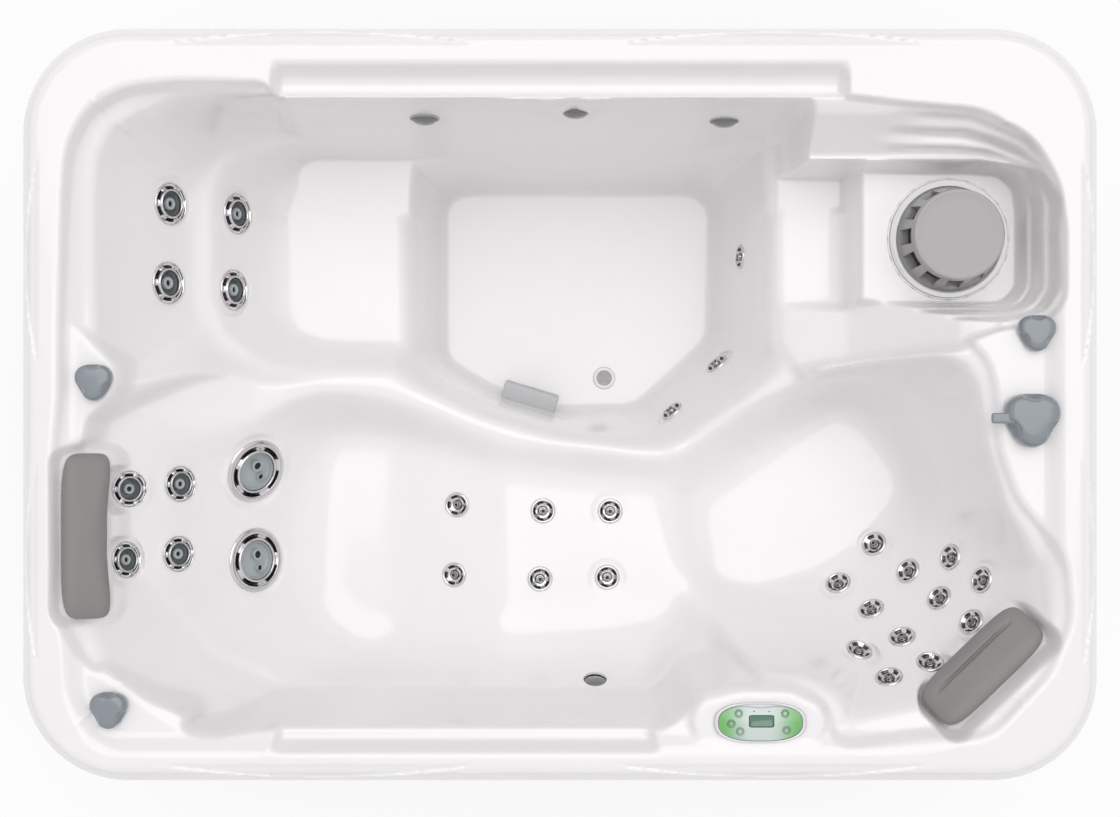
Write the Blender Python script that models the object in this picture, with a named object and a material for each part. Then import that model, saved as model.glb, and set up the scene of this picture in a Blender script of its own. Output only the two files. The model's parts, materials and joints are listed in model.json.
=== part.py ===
"""An acrylic hot tub in metres, +Z up, its origin on the floor under the middle of the tub.

The shell is one sheet over a height function: each basin is a loft between outlines drawn as shares of the tub's
half length and half width, and the sheet takes the lowest basin at every place. Jets, lights, knobs and the other
fittings are placed on that same function, and cut their own seats and holes through the sheet.
"""

import math

import bmesh
import bpy
import numpy as np
from mathutils import Matrix, Vector

# Overall sizes
TUB_LENGTH = 2.13
TUB_WIDTH = 1.492
TUB_HEIGHT = 0.76
CLEARANCE = 0.0003
OVERRUN = 0.03

# Rolled lip of the shell
LIP_CORNER_RADIUS = 0.21
LIP_ROLL = 0.04
LIP_DROP = 0.05
SKIRT_DEPTH = 0.062
SHELL_THICKNESS = 0.006
SLIVER = 0.00006

# Depths below the rim
DECK_DEPTH = 0.02
SHELF_DEPTH = 0.035
POD_DEPTH = 0.022
PANEL_PAD_DEPTH = 0.006
FILTER_TERRACE_DEPTH = 0.03
FILTER_BANK_DEPTH = 0.11
FILTER_SHELF_DEPTH = 0.18
STEP_DEPTH = 0.30
SEAT_DEPTH = 0.45
SEAT_ARM_DEPTH = 0.31
SEAT_BACK_DEPTH = 0.27
LOUNGE_PAN_DEPTH = 0.45
LOUNGE_KNEE_DEPTH = 0.385
LOUNGE_CALF_DEPTH = 0.41
CORNER_SEAT_DEPTH = 0.46
FOOTWELL_FLOOR_HEIGHT = 0.08
FOOTWELL_DEPTH = TUB_HEIGHT - FOOTWELL_FLOOR_HEIGHT
ARM_HEAD_DEPTH = 0.05
ARM_SHOULDER_DEPTH = 0.18
ARM_ELBOW_DEPTH = 0.26
ARM_HAND_DEPTH = 0.31
ARM_RIDGE_DEPTH = 0.34
ARM_STEP_DEPTH = 0.305
FRONT_LEDGE_RISE = 0.05
PENINSULA_DEPTH = 0.24
PENINSULA_END_DEPTH = 0.06

# Radii and fillets of the shell
BASIN_CORNER = 0.06
RIM_CORNER = 0.05
EDGE_CORNER = 0.03
RECESS_CORNER = 0.012
SEAT_FILLET = 0.12
WALL_FILLET = 0.025
RIM_FILLET = 0.06
CREST_FILLET = 0.015
RIDGE_BLEND = 0.025
EDGE_BLEND = 0.008
RECESS_EDGE = 0.01
POD_BEND = 0.03
POD_EDGE = 0.004
JET_PAD_MARGIN = 0.004
JET_PAD_BLEND = 0.022
PILLOW_REST_BLEND = 0.02
FOOT_FILLET_SHARES = (0.02, 0.62)
HEAD_FILLET_SHARES = (0.02, 0.36)

# Slopes are plain numbers: metres down for each metre across
MAIN_WALL_SLOPE = 7.0
POD_WALL_SLOPE = 4.0

# Outlines as shares of half length and half width, going round each basin
RIM_SHARES = [
    (-0.922, 0.590), (-0.915, 0.708), (-0.876, 0.800), (-0.819, 0.842), (-0.755, 0.858), (-0.549, 0.861),
    (-0.530, 0.816), (0.530, 0.816), (0.635, 0.800), (0.773, 0.785), (0.876, 0.711), (0.924, 0.590),
    (0.935, 0.474), (0.935, -0.356), (0.928, -0.619), (0.829, -0.816), (0.736, -0.900), (0.626, -0.916),
    (-0.536, -0.916), (-0.549, -0.927), (-0.829, -0.927), (-0.876, -0.895), (-0.917, -0.777), (-0.926, -0.566),
]
MAIN_SHARES = [
    (-0.915, 0.541), (-0.907, 0.673), (-0.870, 0.778), (-0.800, 0.831), (-0.704, 0.847), (-0.548, 0.847),
    (-0.518, 0.813), (0.530, 0.813), (0.639, 0.794), (0.774, 0.778), (0.874, 0.704), (0.922, 0.580),
    (0.933, 0.461), (0.933, 0.276), (0.904, 0.218), (0.815, 0.197), (0.755, 0.171), (0.791, 0.123),
    (0.807, 0.049), (0.813, -0.115), (0.848, -0.252), (0.892, -0.326), (0.933, -0.411), (0.941, -0.570),
    (0.898, -0.715), (0.787, -0.882), (0.685, -0.868), (0.537, -0.897), (0.507, -0.882), (0.496, -0.797),
    (0.444, -0.744), (0.333, -0.734), (0.259, -0.755), (0.233, -0.813), (0.193, -0.853), (-0.539, -0.853),
    (-0.680, -0.879), (-0.881, -0.686), (-0.926, -0.570), (-0.931, -0.120), (-0.922, 0.025), (-0.922, 0.197),
]
BACK_SHELF_SHARES = [(-0.536, 0.913), (0.536, 0.913), (0.536, 0.800), (-0.536, 0.800)]
FRONT_SHELF_SHARES = [(-0.536, -0.916), (0.184, -0.916), (0.184, -0.824), (-0.536, -0.824)]

SEAT_PAN_SHARES = [
    (-0.540, 0.710), (-0.478, 0.743), (-0.187, 0.743), (-0.187, 0.162), (-0.478, 0.162), (-0.540, 0.206),
]
SEAT_BUCKET_SHARES = [
    (-0.613, 0.741), (-0.672, 0.696), (-0.700, 0.606), (-0.700, 0.295), (-0.669, 0.188), (-0.589, 0.109),
    (-0.178, 0.092), (-0.178, 0.758), (-0.554, 0.758),
]
SEAT_RIM_SHARES = [
    (-0.911, 0.541), (-0.904, 0.673), (-0.867, 0.778), (-0.796, 0.826), (-0.704, 0.842), (-0.541, 0.842),
    (-0.481, 0.813), (0.074, 0.813), (0.074, -0.094), (-0.481, -0.073), (-0.759, -0.052), (-0.907, -0.015),
]
LOUNGE_BED_SHARES = [
    (-0.464, -0.193), (-0.458, -0.099), (-0.346, -0.105), (-0.173, -0.175), (-0.115, -0.205), (0.082, -0.228),
    (0.247, -0.246), (0.247, -0.593), (-0.115, -0.605), (-0.289, -0.617), (-0.392, -0.658), (-0.464, -0.576),
]
LOUNGE_RIM_SHARES = [
    (-0.931, -0.173), (-0.931, -0.570), (-0.898, -0.728), (-0.759, -0.940), (-0.481, -1.125), (0.407, -1.125),
    (0.407, 0.012), (0.207, 0.044), (-0.156, 0.086), (-0.456, 0.184), (-0.759, 0.157), (-0.926, 0.118),
]
CORNER_PAN_SHARES = [
    (0.583, 0.007), (0.708, -0.171), (0.712, -0.254), (0.525, -0.462), (0.408, -0.537), (0.323, -0.507),
    (0.308, -0.284),
]
CORNER_RIM_SHARES = [
    (0.444, 0.181), (0.630, 0.189), (0.715, 0.171), (0.778, 0.128), (0.804, 0.049), (0.809, -0.115),
    (0.844, -0.252), (0.889, -0.332), (0.926, -0.411), (0.937, -0.570), (0.889, -0.707), (0.787, -0.874),
    (0.685, -0.855), (0.537, -0.892), (0.507, -0.882), (0.496, -0.802), (0.444, -0.749), (0.333, -0.739),
    (0.259, -0.765), (0.185, -0.940), (-0.148, -0.940), (-0.111, 0.012), (0.259, 0.435),
]
ARM_TOP_SHARES = [
    (-0.869, -0.045), (-0.727, 0.048), (-0.626, 0.088), (-0.313, 0.094), (-0.299, 0.128), (-0.299, 0.760),
    (0.424, 0.760), (0.428, 0.172), (0.457, 0.094), (0.545, -0.102), (0.485, -0.333), (0.374, -0.448),
    (0.283, -0.621), (0.248, -0.760), (-0.057, -0.737), (-0.170, -0.714), (-0.323, -0.783), (-0.396, -0.806),
    (-0.566, -0.783), (-0.679, -0.702), (-0.739, -0.598), (-0.808, -0.448),
]
FRONT_LEDGE_SHARES = [
    (-0.895, -0.044), (-0.716, 0.092), (-0.616, 0.126), (-0.334, 0.138), (-0.324, 0.169), (-0.324, 0.762),
    (0.447, 0.762), (0.451, 0.197), (0.477, 0.115), (0.577, -0.101), (0.507, -0.356), (0.388, -0.484),
    (0.308, -0.640), (0.258, -0.839), (0.211, -0.833), (-0.111, -0.802), (-0.318, -0.810), (-0.390, -0.839),
    (-0.557, -0.839), (-0.696, -0.748), (-0.775, -0.617), (-0.855, -0.470),
]
WALL_TOP_SHARES = [
    (-0.922, 0.025), (-0.852, 0.065), (-0.581, 0.157), (-0.343, 0.171), (-0.333, 0.813), (0.481, 0.813),
    (0.481, 0.197), (0.593, 0.012), (0.555, -0.305), (0.398, -0.517), (0.315, -0.755), (0.250, -0.818),
    (0.185, -0.850), (-0.539, -0.855), (-0.680, -0.879), (-0.881, -0.686), (-0.926, -0.411),
]
FOOTWELL_FLOOR_SHARES = [
    (-0.246, 0.654), (0.295, 0.654), (0.325, 0.601), (0.321, 0.215), (0.161, 0.005), (0.000, -0.005),
    (-0.147, 0.058), (-0.246, 0.146),
]
FOOTWELL_CREST_SHARES = [
    (-0.346, 0.773), (0.422, 0.765), (0.422, 0.185), (0.450, 0.105), (0.247, -0.139), (0.169, -0.131),
    (0.000, -0.082), (-0.169, -0.010), (-0.285, 0.062), (-0.330, 0.093),
]
FILTER_FLOOR_SHARES = [
    (0.348, 0.648), (0.852, 0.637), (0.875, 0.593), (0.875, 0.333), (0.852, 0.289), (0.348, 0.289),
]
FILTER_TERRACE_SHARES = [
    (0.299, 0.662), (0.803, 0.662), (0.896, 0.620), (0.926, 0.545), (0.928, 0.305), (0.904, 0.241),
    (0.822, 0.220), (0.299, 0.220),
]
FILTER_RIM_SHARES = [
    (0.259, 0.805), (0.537, 0.805), (0.639, 0.792), (0.768, 0.778), (0.870, 0.704), (0.918, 0.583),
    (0.931, 0.461), (0.931, 0.276), (0.904, 0.213), (0.815, 0.197), (0.259, 0.181),
]
PENINSULA_TOP_SHARES = [(0.341, 0.293), (0.805, 0.266), (0.814, 0.228), (0.805, 0.174), (0.341, 0.088)]
PENINSULA_RIM_SHARES = [(0.330, 0.335), (0.819, 0.281), (0.829, 0.227), (0.819, 0.160), (0.330, 0.034)]
LEFT_POD_SHARES = [
    (-0.926, 0.208), (-0.904, 0.218), (-0.871, 0.176), (-0.823, 0.107), (-0.815, 0.060), (-0.837, 0.007),
    (-0.874, -0.036), (-0.882, -0.107), (-0.926, -0.107),
]
FRONT_POD_SHARES = [
    (-0.889, -0.755), (-0.856, -0.686), (-0.760, -0.782), (-0.674, -0.834), (-0.760, -0.893), (-0.830, -0.898),
    (-0.882, -0.840),
]
PANEL_PAD_SHARES = [
    (0.242, -0.831), (0.258, -0.778), (0.332, -0.752), (0.424, -0.752), (0.483, -0.791), (0.494, -0.844),
    (0.470, -0.897), (0.369, -0.910), (0.258, -0.904),
]

# How depths change along the tub: (share of half length, depth)
ARM_PLACES_SHARES = (-0.939, -0.742, -0.610, -0.460, -0.296, 0.244, 0.451)
ARM_DEPTHS = (
    ARM_HEAD_DEPTH, ARM_SHOULDER_DEPTH, ARM_ELBOW_DEPTH, ARM_HAND_DEPTH, ARM_RIDGE_DEPTH, ARM_RIDGE_DEPTH,
    ARM_STEP_DEPTH,
)
BED_PLACES_SHARES = (-0.338, -0.113, 0.094, 0.282)
BED_DEPTHS = (LOUNGE_PAN_DEPTH, LOUNGE_KNEE_DEPTH, LOUNGE_CALF_DEPTH, LOUNGE_CALF_DEPTH)
STEP_PLACES_SHARES = (0.413, 0.563, 0.584)
STEP_DEPTHS = (STEP_DEPTH, STEP_DEPTH, FILTER_SHELF_DEPTH)
PENINSULA_PLACES_SHARES = (0.413, 0.563, 0.751, 0.826)
PENINSULA_DEPTHS = (ARM_HAND_DEPTH, PENINSULA_DEPTH, PENINSULA_END_DEPTH, SHELF_DEPTH)
SEAT_BACK_PLACES_SHARES = (-0.704, -0.563)
SEAT_BACK_DEPTHS = (SEAT_BACK_DEPTH, SEAT_ARM_DEPTH)
BANK_PLACES_SHARES = (0.603, 0.670)
BANK_DEPTHS = (FILTER_TERRACE_DEPTH, FILTER_BANK_DEPTH)

# The grid that the sheet is laid on before it is thinned
SHEET_COLUMNS = 150
SHEET_ROWS = 106
SHEET_KEPT_SHARE = 0.0647
STEEPEST_FACING = 0.12
FOLDED_FACING = 0.03
MENDING_ROUNDS = 6
CABINET_ARC_STEPS = 6
LIP_LINE_SHARES = (0.0, 0.15, 0.4, 0.7, 1.0)
ARC_STEPS = 4

# Jets: ring radius, barrel radius and barrel length of each kind
SEAT_JET = (0.045, 0.029, 0.05)
NECK_JET = (0.038, 0.0245, 0.05)
BACK_JET = (0.070, 0.051, 0.06)
LOUNGE_JET = (0.028, 0.0175, 0.045)
FOOTWELL_JET = (0.028, 0.0175, 0.045)
CORNER_JET = (0.029, 0.018, 0.042)
JET_SEAT_DEPTH = 0.001
JET_FACE_SHARES = ((0.0, 0.06), (0.28, 0.06), (0.44, -0.30), (0.62, 0.14), (1.0, 0.05))
CORNER_FACE_SHARES = ((0.0, 0.30), (0.22, 0.30), (0.40, -0.10), (0.80, 0.15), (1.0, 0.05))
BACK_FACE_SHARES = ((0.0, -0.20), (0.66, -0.20), (0.74, 0.07), (0.90, 0.10), (1.0, 0.03))
ROTOR_FACE_SHARES = ((0.0, 0.07), (0.34, 0.06), (0.54, -0.04), (0.60, -0.10))
ROTOR_SHARE = 0.60
ROTOR_FLOOR_SHARE = 0.20
JET_SIDES = 10
CORNER_JET_SIDES = 8
BACK_JET_SIDES = 16

SEAT_JET_SHARES = [(-0.761, 0.559), (-0.653, 0.550), (-0.764, 0.338), (-0.658, 0.330)]
NECK_JET_SHARES = [(-0.822, -0.230), (-0.740, -0.221), (-0.826, -0.422), (-0.743, -0.415)]
BACK_JET_SHARES = [(-0.612, -0.192), (-0.615, -0.449)]
LOUNGE_JET_SHARES = [
    (-0.212, -0.295), (-0.035, -0.311), (0.103, -0.313), (-0.218, -0.501), (-0.041, -0.510), (0.097, -0.507),
]
FOOTWELL_JET_SHARES = [(0.378, 0.442), (0.334, 0.123), (0.237, -0.020)]
CORNER_ROW_SHARES = {
    "corner_jet_row_1": [(0.573, -0.525), (0.626, -0.587), (0.670, -0.650), (0.710, -0.706)],
    "corner_jet_row_2": [(0.650, -0.412), (0.704, -0.481), (0.749, -0.546), (0.793, -0.599)],
    "corner_jet_row_3": [(0.774, -0.432), (0.818, -0.486)],
    "corner_jet_row_4": [(0.586, -0.687), (0.629, -0.744)],
}
MANIFOLD_RADIUS = 0.011
MANIFOLD_OVERHANG = 0.02
MANIFOLD_SIDES = 6

# Lights and drains
LIGHT_RADIUS = 0.031
LIGHT_DOME = 0.015
LIGHT_BARREL_RADIUS = 0.02
LIGHT_BARREL_LENGTH = 0.03
LIGHT_SIDES = 10
LIGHT_DOME_SHARES = ((0.0, 1.0), (0.55, 0.85), (0.88, 0.45), (1.0, 0.12))
LIGHT_PLACE_SHARES = {
    "back_light_left": (-0.260, 0.786),
    "back_light_middle": (0.029, 0.794),
    "back_light_right": (0.317, 0.783),
    "front_light": (0.070, -0.798),
}
DRAIN_RADIUS = 0.026
DRAIN_HEIGHT = 0.004
DRAIN_BARREL_RADIUS = 0.018
DRAIN_BARREL_LENGTH = 0.02
DRAIN_PLACE_SHARES = (0.097, 0.083)
SUCTION_LENGTH = 0.128
SUCTION_RISE = 0.075
SUCTION_REACH = 0.04
SUCTION_BODY_RISE = 0.045
SUCTION_BODY_REACH = 0.03
SUCTION_TOP_SHARE = 0.2
SUCTION_CENTRE_SHARES = (-0.069, 0.004)

# Knobs and the diverter
KNOB_RADIUS = 0.036
KNOB_HEIGHT = 0.028
KNOB_STEM_RADIUS = 0.012
KNOB_STEM_LENGTH = 0.03
DIVERTER_RADIUS = 0.053
DIVERTER_HEIGHT = 0.04
KNOB_LOBES = 3
KNOB_LOBE_SHARE = 0.09
KNOB_SIDES = 15
KNOB_RING_SHARES = ((0.78, 0.0), (1.0, 0.18), (1.0, 0.55), (0.90, 0.85), (0.62, 0.99))
KNOB_PLACE_SHARES = {
    "air_knob_left": (-0.861, 0.062),
    "air_knob_front": (-0.833, -0.802),
    "air_knob_right": (0.880, 0.192),
}
DIVERTER_PLACE_SHARES = (0.870, -0.036)
DIVERTER_TAB_LENGTH = 0.03
DIVERTER_TAB_WIDTH = 0.022
DIVERTER_TAB_HEIGHT = 0.0115
DIVERTER_TAB_SHARE = 0.85

# Control panel
PANEL_LENGTH = 0.182
PANEL_WIDTH = 0.080
PANEL_THICKNESS = 0.009
PANEL_EDGE = 0.003
PANEL_BODY_LENGTH = 0.13
PANEL_BODY_WIDTH = 0.046
PANEL_BODY_DEPTH = 0.045
PANEL_PLACE_SHARES = (0.369, -0.836)
PANEL_SIDES = 20
PANEL_ROUNDNESS = 2.6
BUTTON_RADIUS = 0.0085
BUTTON_DEPTH = 0.004
BUTTON_PROUD = 0.0012
BUTTON_TRAVEL = 0.001
BUTTON_SIDES = 8
PINCH_SHARE = 0.7
BUTTON_CENTRE_SHARES = {
    "button_jets": (-0.47, 0.46), "button_light": (-0.63, -0.04), "button_air": (-0.44, -0.42),
    "button_up": (0.53, 0.46), "button_down": (0.56, -0.36),
}

# Pillows
LEFT_PILLOW_LENGTH = 0.328
LEFT_PILLOW_WIDTH = 0.105
LEFT_PILLOW_HEIGHT = 0.046
LEFT_PILLOW_PLACE_SHARES = (-0.882, -0.349)
LEFT_PILLOW_TILT = math.radians(22)
LEFT_PILLOW_TURN = math.radians(-90)
LEFT_PILLOW_HOLLOW = 0.018
CORNER_PILLOW_LENGTH = 0.272
CORNER_PILLOW_WIDTH = 0.107
CORNER_PILLOW_HEIGHT = 0.044
CORNER_PILLOW_PLACE_SHARES = (0.797, -0.708)
CORNER_PILLOW_TILT = math.radians(30)
CORNER_PILLOW_TURN = math.radians(44)
CORNER_PILLOW_HOLLOW = 0.0
PILLOW_SIDES = 28
PILLOW_RINGS = 5
PILLOW_ROUNDNESS = 5.0
PILLOW_DRAW = 0.006
PILLOW_GIRTH_SHARE = 0.35
PILLOW_CROWN_SHARE = 0.75
PILLOW_CROWN_FALL = 0.003
PILLOW_SLOT_DEPTH = 0.006
PILLOW_SLOT_WIDTH = 0.008
PILLOW_SLOT_SHARES = (0.76, 0.34)
PIN_RADIUS = 0.006
PIN_LENGTH = 0.022
PIN_SPREAD_SHARE = 0.55
PIN_SIDES = 8

# Filter
WELL_PLACE_SHARES = (0.751, 0.457)
WELL_RADIUS = 0.118
FILTER_FLANGE_RADIUS = 0.126
FILTER_FLANGE_HEIGHT = 0.004
HOUSING_WALL = 0.004
HOUSING_LENGTH = 0.34
HOUSING_PORT_RADIUS = 0.028
HOUSING_PORT_LENGTH = 0.04
WEIR_FLANGE_RADIUS = 0.122
WEIR_FLANGE_HEIGHT = 0.005
WEIR_RADIUS = 0.089
WEIR_WALL = 0.004
WEIR_HEIGHT = 0.09
WEIR_SLOTS = 12
WEIR_SLOT_WIDTH = 0.026
WEIR_SLOT_FOOT = 0.012
WEIR_SLOT_HEAD = 0.012
LID_RADIUS = 0.092
LID_THICKNESS = 0.014
LID_EDGE = 0.004
LID_LIP_RADIUS = 0.083
LID_LIP_DEPTH = 0.01
CARTRIDGE_RADIUS = 0.08
CARTRIDGE_BORE = 0.026
CARTRIDGE_LENGTH = 0.27
CARTRIDGE_CAP = 0.012
CARTRIDGE_CAP_PROUD = 0.006
FILTER_SIDES = 20

# Cabinet and base
LIP_OVERHANG = 0.016
CABINET_WALL = 0.012
CABINET_HEAD_DEPTH = 0.066
CABINET_RETURN = 0.11
BASE_THICKNESS = 0.03
PLINTH_INSET = 0.03

# Equipment under the lounge
PUMP_AXIS_HEIGHT = 0.135
PUMP_LINE_SHARE = -0.62
WET_END_PLACE = -0.24
WET_END_RADIUS = 0.085
WET_END_LENGTH = 0.075
WET_END_WALL = 0.01
SUCTION_PORT_RADIUS = 0.024
SUCTION_PORT_WALL = 0.005
SUCTION_PORT_LENGTH = 0.05
SHAFT_RADIUS = 0.008
IMPELLER_RADIUS = 0.06
IMPELLER_THICKNESS = 0.014
MOTOR_RADIUS = 0.075
MOTOR_LENGTH = 0.25
FOOT_WIDTH = 0.10
FOOT_LENGTH = 0.06
HEATER_RADIUS = 0.042
HEATER_LENGTH = 0.36
HEATER_CAP = 0.02
HEATER_CAP_PROUD = 0.006
HEATER_BOX_LENGTH = 0.16
HEATER_BOX_WIDTH = 0.06
HEATER_BOX_RISE = 0.035
CONTROL_BOX_LENGTH = 0.30
CONTROL_BOX_WIDTH = 0.11
CONTROL_BOX_HEIGHT = 0.20
CONTROL_BOX_PLACE = 0.52
CONTROL_BOX_LINE_SHARE = -0.62
GLAND_RADIUS = 0.012
GLAND_LENGTH = 0.02
MANIFOLD_LINE_SHARE = -0.33
SUPPLY_RADIUS = 0.03
SUPPLY_LENGTH = 0.62
SUPPLY_PLACE = -0.16
SUPPLY_PORTS = 6
SUPPLY_PORT_RADIUS = 0.011
SUPPLY_PORT_LENGTH = 0.05
SUPPLY_AXIS_HEIGHT = 0.09
VALVE_RADIUS = 0.017
VALVE_LENGTH = 0.09
VALVE_HANDLE_LENGTH = 0.05
VALVE_HANDLE_WIDTH = 0.016
VALVE_AXIS_HEIGHT = 0.07
VALVE_PLACE_SHARES = (0.62, -0.90)
EQUIPMENT_SIDES = 12

# Colours: red, green, blue, roughness, metallic
ACRYLIC = (0.86, 0.85, 0.86, 0.14, 0.0)
CHROME = (0.72, 0.72, 0.73, 0.12, 1.0)
GREY_ABS = (0.26, 0.28, 0.30, 0.3, 0.0)
KNOB_GREY = (0.27, 0.30, 0.33, 0.22, 0.0)
PILLOW_GREY = (0.28, 0.28, 0.275, 0.55, 0.0)
LENS = (0.55, 0.56, 0.56, 0.1, 0.0)
PANEL_GREEN = (0.45, 0.62, 0.42, 0.3, 0.0)
FILTER_WHITE = (0.8, 0.82, 0.85, 0.7, 0.0)
CABINET_BROWN = (0.20, 0.14, 0.10, 0.6, 0.0)
BASE_BLACK = (0.03, 0.03, 0.03, 0.6, 0.0)
STEEL = (0.55, 0.55, 0.56, 0.35, 1.0)
MOTOR_BLACK = (0.05, 0.05, 0.055, 0.45, 0.0)
PIPE_WHITE = (0.75, 0.75, 0.74, 0.4, 0.0)


def interpolate(places, shares, values, half):
    """Value at each place, running straight between places given as shares of half a side."""
    return np.interp(places, [share * half for share in shares], values)


def rounded(shares, radius):
    """A closed outline in metres from shares of the half sides, each corner turned by a short arc."""
    corners = [Vector((x * TUB_LENGTH / 2, y * TUB_WIDTH / 2)) for x, y in shares]
    points = []
    for before, corner, after in zip(corners[-1:] + corners[:-1], corners, corners[1:] + corners[:1]):
        back = before - corner
        ahead = after - corner
        half_angle = back.angle(ahead) / 2
        cut = min(radius / math.tan(half_angle) if half_angle < math.pi / 2 else radius,
                  0.45 * back.length, 0.45 * ahead.length)
        for step in range(ARC_STEPS + 1):
            along = step / ARC_STEPS
            points.append(corner + back.normalized() * cut * (1 - along) ** 2 + ahead.normalized() * cut * along ** 2)
    return points


def signed_distance(x, y, outline):
    """Distance of each place from a closed outline, negative inside it."""
    nearest = np.full(np.shape(x), np.inf)
    inside = np.zeros(np.shape(x), bool)
    for start, end in zip(outline, outline[1:] + outline[:1]):
        side = end - start
        if side.length_squared == 0:
            continue
        across, up = x - start.x, y - start.y
        along = np.clip((across * side.x + up * side.y) / side.length_squared, 0, 1)
        nearest = np.minimum(nearest, (across - side.x * along) ** 2 + (up - side.y * along) ** 2)
        if side.y:
            crossed = (start.y > y) != (end.y > y)
            inside ^= crossed & (x < start.x + up * side.x / side.y)
    return np.where(inside, -1.0, 1.0) * np.sqrt(nearest)


def smooth_step(share):
    share = np.clip(share, 0, 1)
    return share * share * (3 - 2 * share)


def smooth_lower(a, b, blend):
    """The lower of two heights, with the edge between them rounded over this blend."""
    share = np.clip(0.5 + 0.5 * (b - a) / blend, 0, 1)
    return b + (a - b) * share - blend * share * (1 - share)


def smooth_upper(a, b, blend):
    return -smooth_lower(-a, -b, blend)


def wall_share(t, foot, head):
    """Share of a wall's rise at the share t of its width: eased in over foot and out over head."""
    steepest = 1 / (1 - foot / 2 - head / 2)
    low = steepest * t * t / (2 * foot)
    high = 1 - steepest * (1 - t) ** 2 / (2 * head)
    return np.where(t < foot, low, np.where(t < 1 - head, steepest * (t - foot / 2), high))


def loft(x, y, levels, beyond=None):
    """Height over outlines from a basin's floor to its rim, each (outline, depth, foot fillet, head fillet)."""
    outline, depth, foot, _ = levels[0]
    distance = signed_distance(x, y, outline)
    height = -depth + np.zeros(np.shape(x))
    for outline, next_depth, next_foot, head in levels[1:]:
        outward = np.maximum(distance, 0)
        distance = signed_distance(x, y, outline)
        inward = np.maximum(-distance, 0)
        width = np.maximum(outward + inward, CLEARANCE)
        foot_share = np.clip(foot / width, *FOOT_FILLET_SHARES)
        head_share = np.clip(head / width, *HEAD_FILLET_SHARES)
        share = wall_share(outward / width, foot_share, head_share)
        rise = -depth + (depth - next_depth) * np.where(distance >= 0, 1, share)
        height = np.where(outward > 0, rise, height)
        depth, foot = next_depth, next_foot
    if beyond is not None:
        height = np.where(distance > 0, beyond, height)
    return height


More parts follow.
